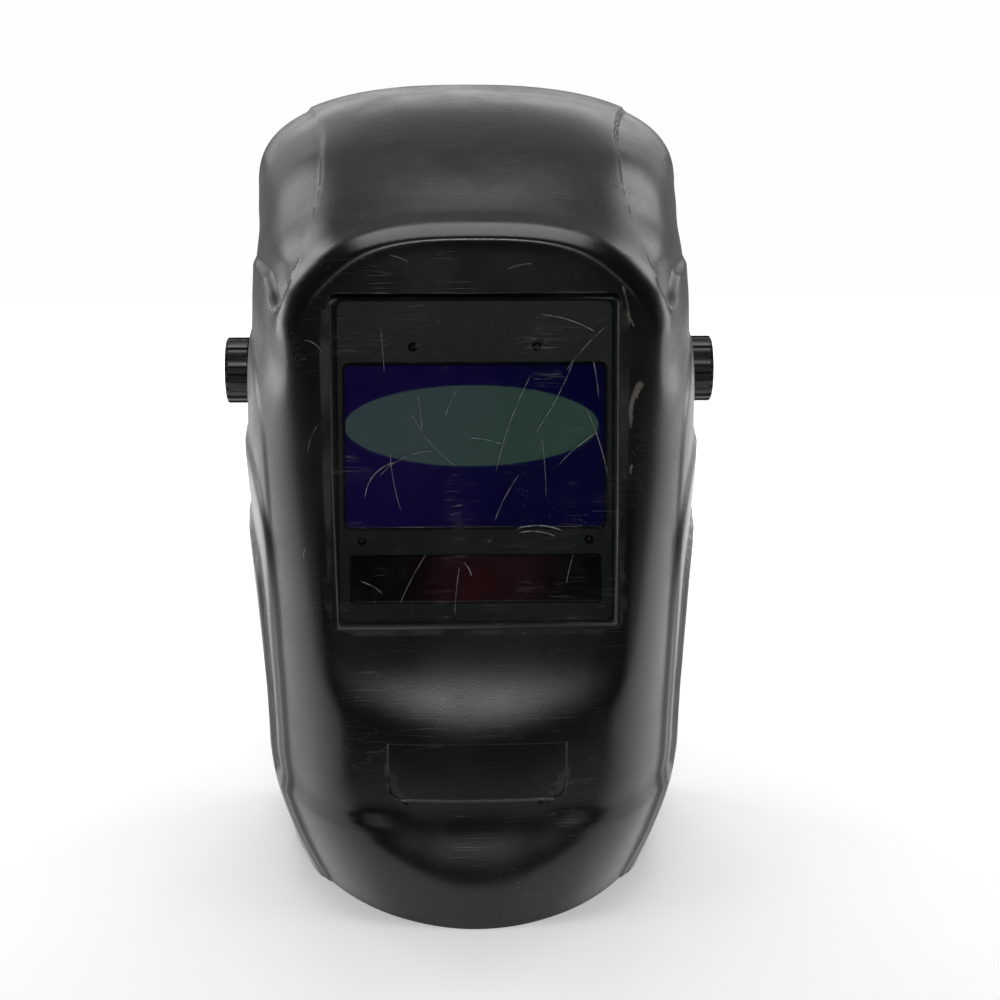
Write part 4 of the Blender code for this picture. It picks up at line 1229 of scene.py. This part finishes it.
def even(points, outs, spacing):
    """The same path with points evenly spaced along it."""
    length = np.concatenate([[0], np.cumsum(np.linalg.norm(np.diff(points, axis=0), axis=1))])
    count = max(8, int(length[-1] / spacing))
    at = np.linspace(0, length[-1], count + 1)
    new = np.stack([np.interp(at, length, points[:, k]) for k in range(points.shape[1])], -1)
    out = np.stack([np.interp(at, length, outs[:, k]) for k in range(outs.shape[1])], -1)
    return new, out / np.linalg.norm(out, axis=1, keepdims=True), at


def swept(points, outs, up, section):
    """A closed bar along a path: section(share) gives its (out, up) corners at a share of the way."""
    last = len(points) - 1
    bm = bridged([[point + out * a + up * b for a, b in section(i / last)]
                  for i, (point, out) in enumerate(zip(points, outs))])
    bmesh.ops.recalc_face_normals(bm, faces=bm.faces)
    return bm


def strap_section(height, thickness, bead=0.0, edge=0.5, tip=0.0):
    """A strap's cross-section: rounded edges, a raised bead along both, and narrowing tips."""
    def section(share):
        narrow = 1.0
        if tip:
            narrow = math.sqrt(max(0.06, min(1, share / tip) * (2 - min(1, share / tip))))
            back = (1 - share) / tip
            narrow *= math.sqrt(max(0.06, min(1, back) * (2 - min(1, back))))
        half = height / 2 * narrow
        corners = [(0, -half + edge), (edge * 0.3, -half + edge * 0.3), (edge, -half)]
        corners += [(thickness + bead - edge, -half), (thickness + bead, -half + edge),
                    (thickness + bead, -half + 1.6), (thickness, -half + 2.4)]
        mirror = [(a, -b) for a, b in corners[::-1]]
        return corners + mirror
    return section


def flat_path(start, stop, offset, spacing=2.0):
    points, outs = head_outline(start, stop, 240, offset)
    points = np.column_stack([points, np.full(len(points), BAND_Z)])
    outs = np.column_stack([outs, np.zeros(len(outs))])
    return even(points, outs, spacing)


UP = np.array((0, 0, 1.0))
BACK = np.array((0, 1.0, 0))
CUT_THROUGH = 12


def spot_on(points, outs, at, place, up):
    """The point at a distance along a path, its outward direction, and the turn that lays x along it."""
    point = np.array([np.interp(place, at, points[:, k]) for k in range(3)])
    out = np.array([np.interp(place, at, outs[:, k]) for k in range(3)])
    out /= np.linalg.norm(out)
    return point, out, Matrix((np.cross(up, out), up, out)).transposed().to_4x4()


def slots_along(points, outs, at, places, size, up=UP):
    """Rounded slots through a strap, centred at distances along its path."""
    cutters = []
    for place in places:
        point, turn = spot_on(points, outs, at, place, up)[::2]
        slot = slab((*size, CUT_THROUGH), (0, 0, 0), min(size) / 2 - 0.01, 5)
        slot.transform(Matrix.Translation(point) @ turn)
        cutters.append(slot)
    return cutters


def make_bands():
    points, outs, at = flat_path(-112, 112, 0)
    section = strap_section(BAND_HEIGHT, BAND_THICKNESS - BEAD, BEAD, 0.5, 0.04)
    band = show("headband_strap", swept(points, outs, UP, section), GEAR, "headgear", "strap_plastic",
                ["headband"])
    middle = at[-1] / 2
    vents = [middle + VENT_PITCH * i for i in range(-5, 6)]
    carve(band, slots_along(points, outs, at, vents, VENT), GEAR)
    for side, label in ((-1, "right"), (1, "left")):
        points, outs, at = flat_path(side * 104, side * 169, BAND_THICKNESS + GAP)
        section = strap_section(REAR_BAND_HEIGHT, REAR_BAND_THICKNESS, 0.0, 0.5, 0.05)
        strap = show("rear_strap_" + label, swept(points, outs, UP, section), GEAR, "headgear",
                     "strap_plastic", ["rear_band_" + label])
        ribs = [18 + RIB_PITCH * i for i in range(11)]
        carve(strap, slots_along(points, outs, at, ribs, RIB_SLOT), GEAR)


def crown_path(side):
    points = [(side * CROWN_HALF_WIDTH, CROWN_Y, CROWN_END_Z)]
    for share in np.linspace(0, 1, 121):
        angle = math.radians(104) * share
        lift = 0 if side < 0 else (CROWN_THICKNESS + GAP) * float(smooth(share * 1.7 - 0.2))
        x = side * (CROWN_HALF_WIDTH + lift) * math.cos(angle)
        points.append((x, CROWN_Y, CROWN_BASE_Z + (CROWN_RISE + lift) * math.sin(angle)))
    points = np.array(points)
    fine = np.linspace(0, 1, 12)[1:-1]
    straight = points[0] + (points[1] - points[0]) * fine[:, None]
    points = np.concatenate([points[:1], straight, points[1:]])
    along = np.gradient(points, axis=0)
    outs = np.cross(along, BACK) * side
    outs /= np.linalg.norm(outs, axis=1, keepdims=True)
    if outs[0][0] * side < 0:
        outs = -outs
    return even(points, outs, 2.0)


def make_crown():
    top = CROWN_BASE_Z + CROWN_RISE
    for side, label in ((-1, "right"), (1, "left")):
        points, outs, at = crown_path(side)
        section = strap_section(CROWN_WIDTH, CROWN_THICKNESS, 0.0, 0.45, 0.04)
        strap = show("crown_strip_" + label, swept(points, outs, BACK, section), GEAR, "crown",
                     "strap_plastic", ["crown_strap_" + label])
        middle = float(np.interp(0, -side * points[:, 0], at))
        holes = [middle + CROWN_HOLE_PITCH * i for i in range(-8, 3)
                 if middle + CROWN_HOLE_PITCH * i < at[-1] - 5]
        carve(strap, slots_along(points, outs, at, holes, (CROWN_HOLE, CROWN_HOLE), BACK), GEAR)
    peg = lathe([(0, top - 2), (2.0, top - 2), (2.0, top + 3.8), (4.0, top + 3.8), (4.5, top + 4.2)] +
                arc((3.5, top + 5), 1.0, 0, 90, 5) + [(1.4, top + 6), (0, top + 5.6)], 48)
    show("crown_stud", peg, GEAR @ Matrix.Translation((0, CROWN_Y, 0)), "crown",
         "grey_plastic", ["crown_peg"])


def make_sweatband():
    """Padded leatherette round the brow: stitched edges, and soft channels between the cushions."""
    height, thickness = SWEATBAND
    points, outs, at = flat_path(-62, 62, -GAP, 1.3)
    total = at[-1]

    def section(share):
        place = share * total
        puff = cushion_puff(place - total / 2)
        tip = min(1, min(share, 1 - share) / 0.035)
        puff *= 0.45 + 0.55 * math.sqrt(max(0.0, tip * (2 - tip)))
        half = height / 2 * (0.94 + 0.06 * puff)
        corners = []
        for k in range(17):
            up = -half + 2 * half * k / 16
            rim = abs(up) / half
            seam = 1 - 0.55 * math.exp(-((half - abs(up) - SEAM_INSET) / 0.9) ** 2)
            crown = (1 - rim ** 6) * seam * (0.82 + 0.18 * (1 - rim * rim))
            corners.append((-max(0.5, thickness * puff * crown), up))
        return [(0, half * 0.97)] + corners[::-1] + [(0, -half * 0.97)]

    pad = show("sweatband_pad", swept(points, outs, UP, section), GEAR, "headgear", "black_foam",
               ["sweatband"], FINISHES["leatherette"], 60)
    soften(pad)
    make_stitches("brow_stitches", points, outs, at)


def soften(pad):
    soft = pad.modifiers.new("Soft", "SUBSURF")
    soft.levels = 1
    soft.render_levels = 1


def cushion_puff(place):
    """How full the sweatband is at a distance from its middle: cushions with sewn channels between."""
    phase = (place / CUSHION_PITCH) % 1
    return 0.58 + 0.42 * float(smooth((1 - abs(phase - 0.5) * 2) / 0.55))


def make_stitches(name, points, outs, at):
    """Thread along both seams of the sweatband, one small rounded stitch after another."""
    rise = SWEATBAND[0] / 2 - SEAM_INSET
    bm = bmesh.new()
    for side in (-1, 1):
        for i in range(int((at[-1] - 2 * STITCH_START) / STITCH_PITCH)):
            place = STITCH_START + STITCH_PITCH * i
            point, out, turn = spot_on(points, outs, at, place, UP)
            puff = cushion_puff(place - at[-1] / 2)
            stitch = bmesh.new()
            bmesh.ops.create_uvsphere(stitch, u_segments=8, v_segments=6, radius=1)
            bmesh.ops.scale(stitch, vec=STITCH, verts=stitch.verts)
            spot = point + UP * rise * side - out * (SWEATBAND[1] * puff * 0.38 + 0.2)
            stitch.transform(Matrix.Translation(spot) @ turn)
            mesh = bpy.data.meshes.new("stitch")
            stitch.to_mesh(mesh)
            stitch.free()
            bm.from_mesh(mesh)
            bpy.data.meshes.remove(mesh)
    show(name, bm, GEAR, "headgear", "black_foam", (), FINISHES["thread"], 80)


def make_nape_pad():
    """A foam pad in a knitted cover: blown up a little as cloth, then seamed round its edge."""
    width, height = NAPE_PAD
    low, high = NAPE_DEPTH
    layers = []
    for share, inset in ((0, 2.4), (0.25, 0.6), (0.5, 0), (0.75, 0.6), (1, 2.4)):
        points = outline(width - 2 * inset, height - 2 * inset, 8 - inset, 8)
        layers.append((points, share * (high - low)))
    bm = stack(layers)
    turn = Matrix.Translation((0, high, BAND_Z)) @ turned(90, "X")
    pad = show("nape_cushion", bm, GEAR @ turn, "headgear", "black_foam", ["nape_pad"], None, 80)
    remesh = pad.modifiers.new("Even", "REMESH")
    remesh.mode = "VOXEL"
    remesh.voxel_size = 2.2 * MM
    settled(pad)
    start = np.array([v.co for v in pad.data.vertices])
    blow_up(pad, start, 1.1)
    seam_round(pad, width, height)
    soften(pad)


def blow_up(pad, start, most):
    """Cloth under pressure, stopped after a few frames; no point moves further than most, in mm."""
    scene = bpy.context.scene
    cloth = pad.modifiers.new("Cloth", "CLOTH")
    cloth.settings.use_pressure = True
    cloth.settings.uniform_pressure_force = 4
    cloth.settings.effector_weights.gravity = 0
    cloth.point_cache.frame_start = 1
    cloth.point_cache.frame_end = 16
    for number in range(1, 17):
        scene.frame_set(number)
    settled(pad)
    scene.frame_set(1)
    inverse = np.array(GEAR.inverted().to_3x3())
    for vert, before in zip(pad.data.vertices, start):
        move = inverse @ (np.array(vert.co) - before)
        length = np.linalg.norm(move)
        if length > most:
            move *= most / length
        vert.co = Vector(before) + GEAR.to_3x3() @ Vector(move)


def seam_round(pad, width, height):
    """A sewn seam 4 mm inside the edge, and two channels across."""
    inverse = GEAR.inverted()
    for vert in pad.data.vertices:
        local = inverse @ vert.co
        if local.y > 98.5:
            continue
        x = abs(local.x)
        z = abs(local.z - BAND_Z)
        edge = min(width / 2 - x, height / 2 - z)
        sunk = 1.1 * math.exp(-((edge - 4.2) / 0.9) ** 2)
        sunk += 0.9 * math.exp(-((x - 13) / 1.0) ** 2) * float(smooth((edge - 4) / 2))
        local.y += sunk
        vert.co = GEAR @ local


def make_ratchet():
    housing = settled(refined("ratchet_housing", "strap_plastic", 0.8, 3))
    back = Matrix.Translation((0, HOUSING_BACK, BAND_Z)) @ turned(-90, "X")
    ribs = [slab((1.2, 20, 0.9), (side * (24.5 + 3.4 * i), 0, 0), 0.4, 2)
            for side in (-1, 1) for i in range(3)]
    carve(housing, ribs, GEAR @ back)
    refined("ratchet_cover", "strap_plastic", 0.5, 2)
    grip = knob(RATCHET_KNOB[0], GAP, RATCHET_KNOB[1], 16, 1.3, 2.0, 0, 0, 1.4, 0.4)
    turner = show("ratchet_grip", grip, GEAR @ back, "ratchet", "knob_plastic", ["ratchet_knob"])
    carve(turner, [disc(3.0, -1.2, 1.2, 0.2, 32)], GEAR @ back, "UNION")
    refined("ratchet_pinion", "steel", 0.12, 1)
    refined("rack_left", "grey_plastic", 0.15, 1)
    refined("rack_right", "grey_plastic", 0.15, 1)


# ---- Making

def paint_rest():
    """The CAD pieces that are still showing get their slot's finish."""
    for part in frame["record"]["subparts"]:
        for entry in frame["nodes"][part["node"]].material_slots:
            entry.link = "OBJECT"
            entry.material = FINISHES[part["material_slot"]]


def main():
    bpy.context.scene.view_settings.view_transform = "Standard"
    make_camera()
    make_lights()
    make_studio()
    FINISHES.update(make_finishes())
    paint_rest()
    make_shell()
    make_cartridge()
    make_case()
    make_bay()
    make_pivots()
    make_bands()
    make_crown()
    make_sweatband()
    make_nape_pad()
    make_ratchet()


main()
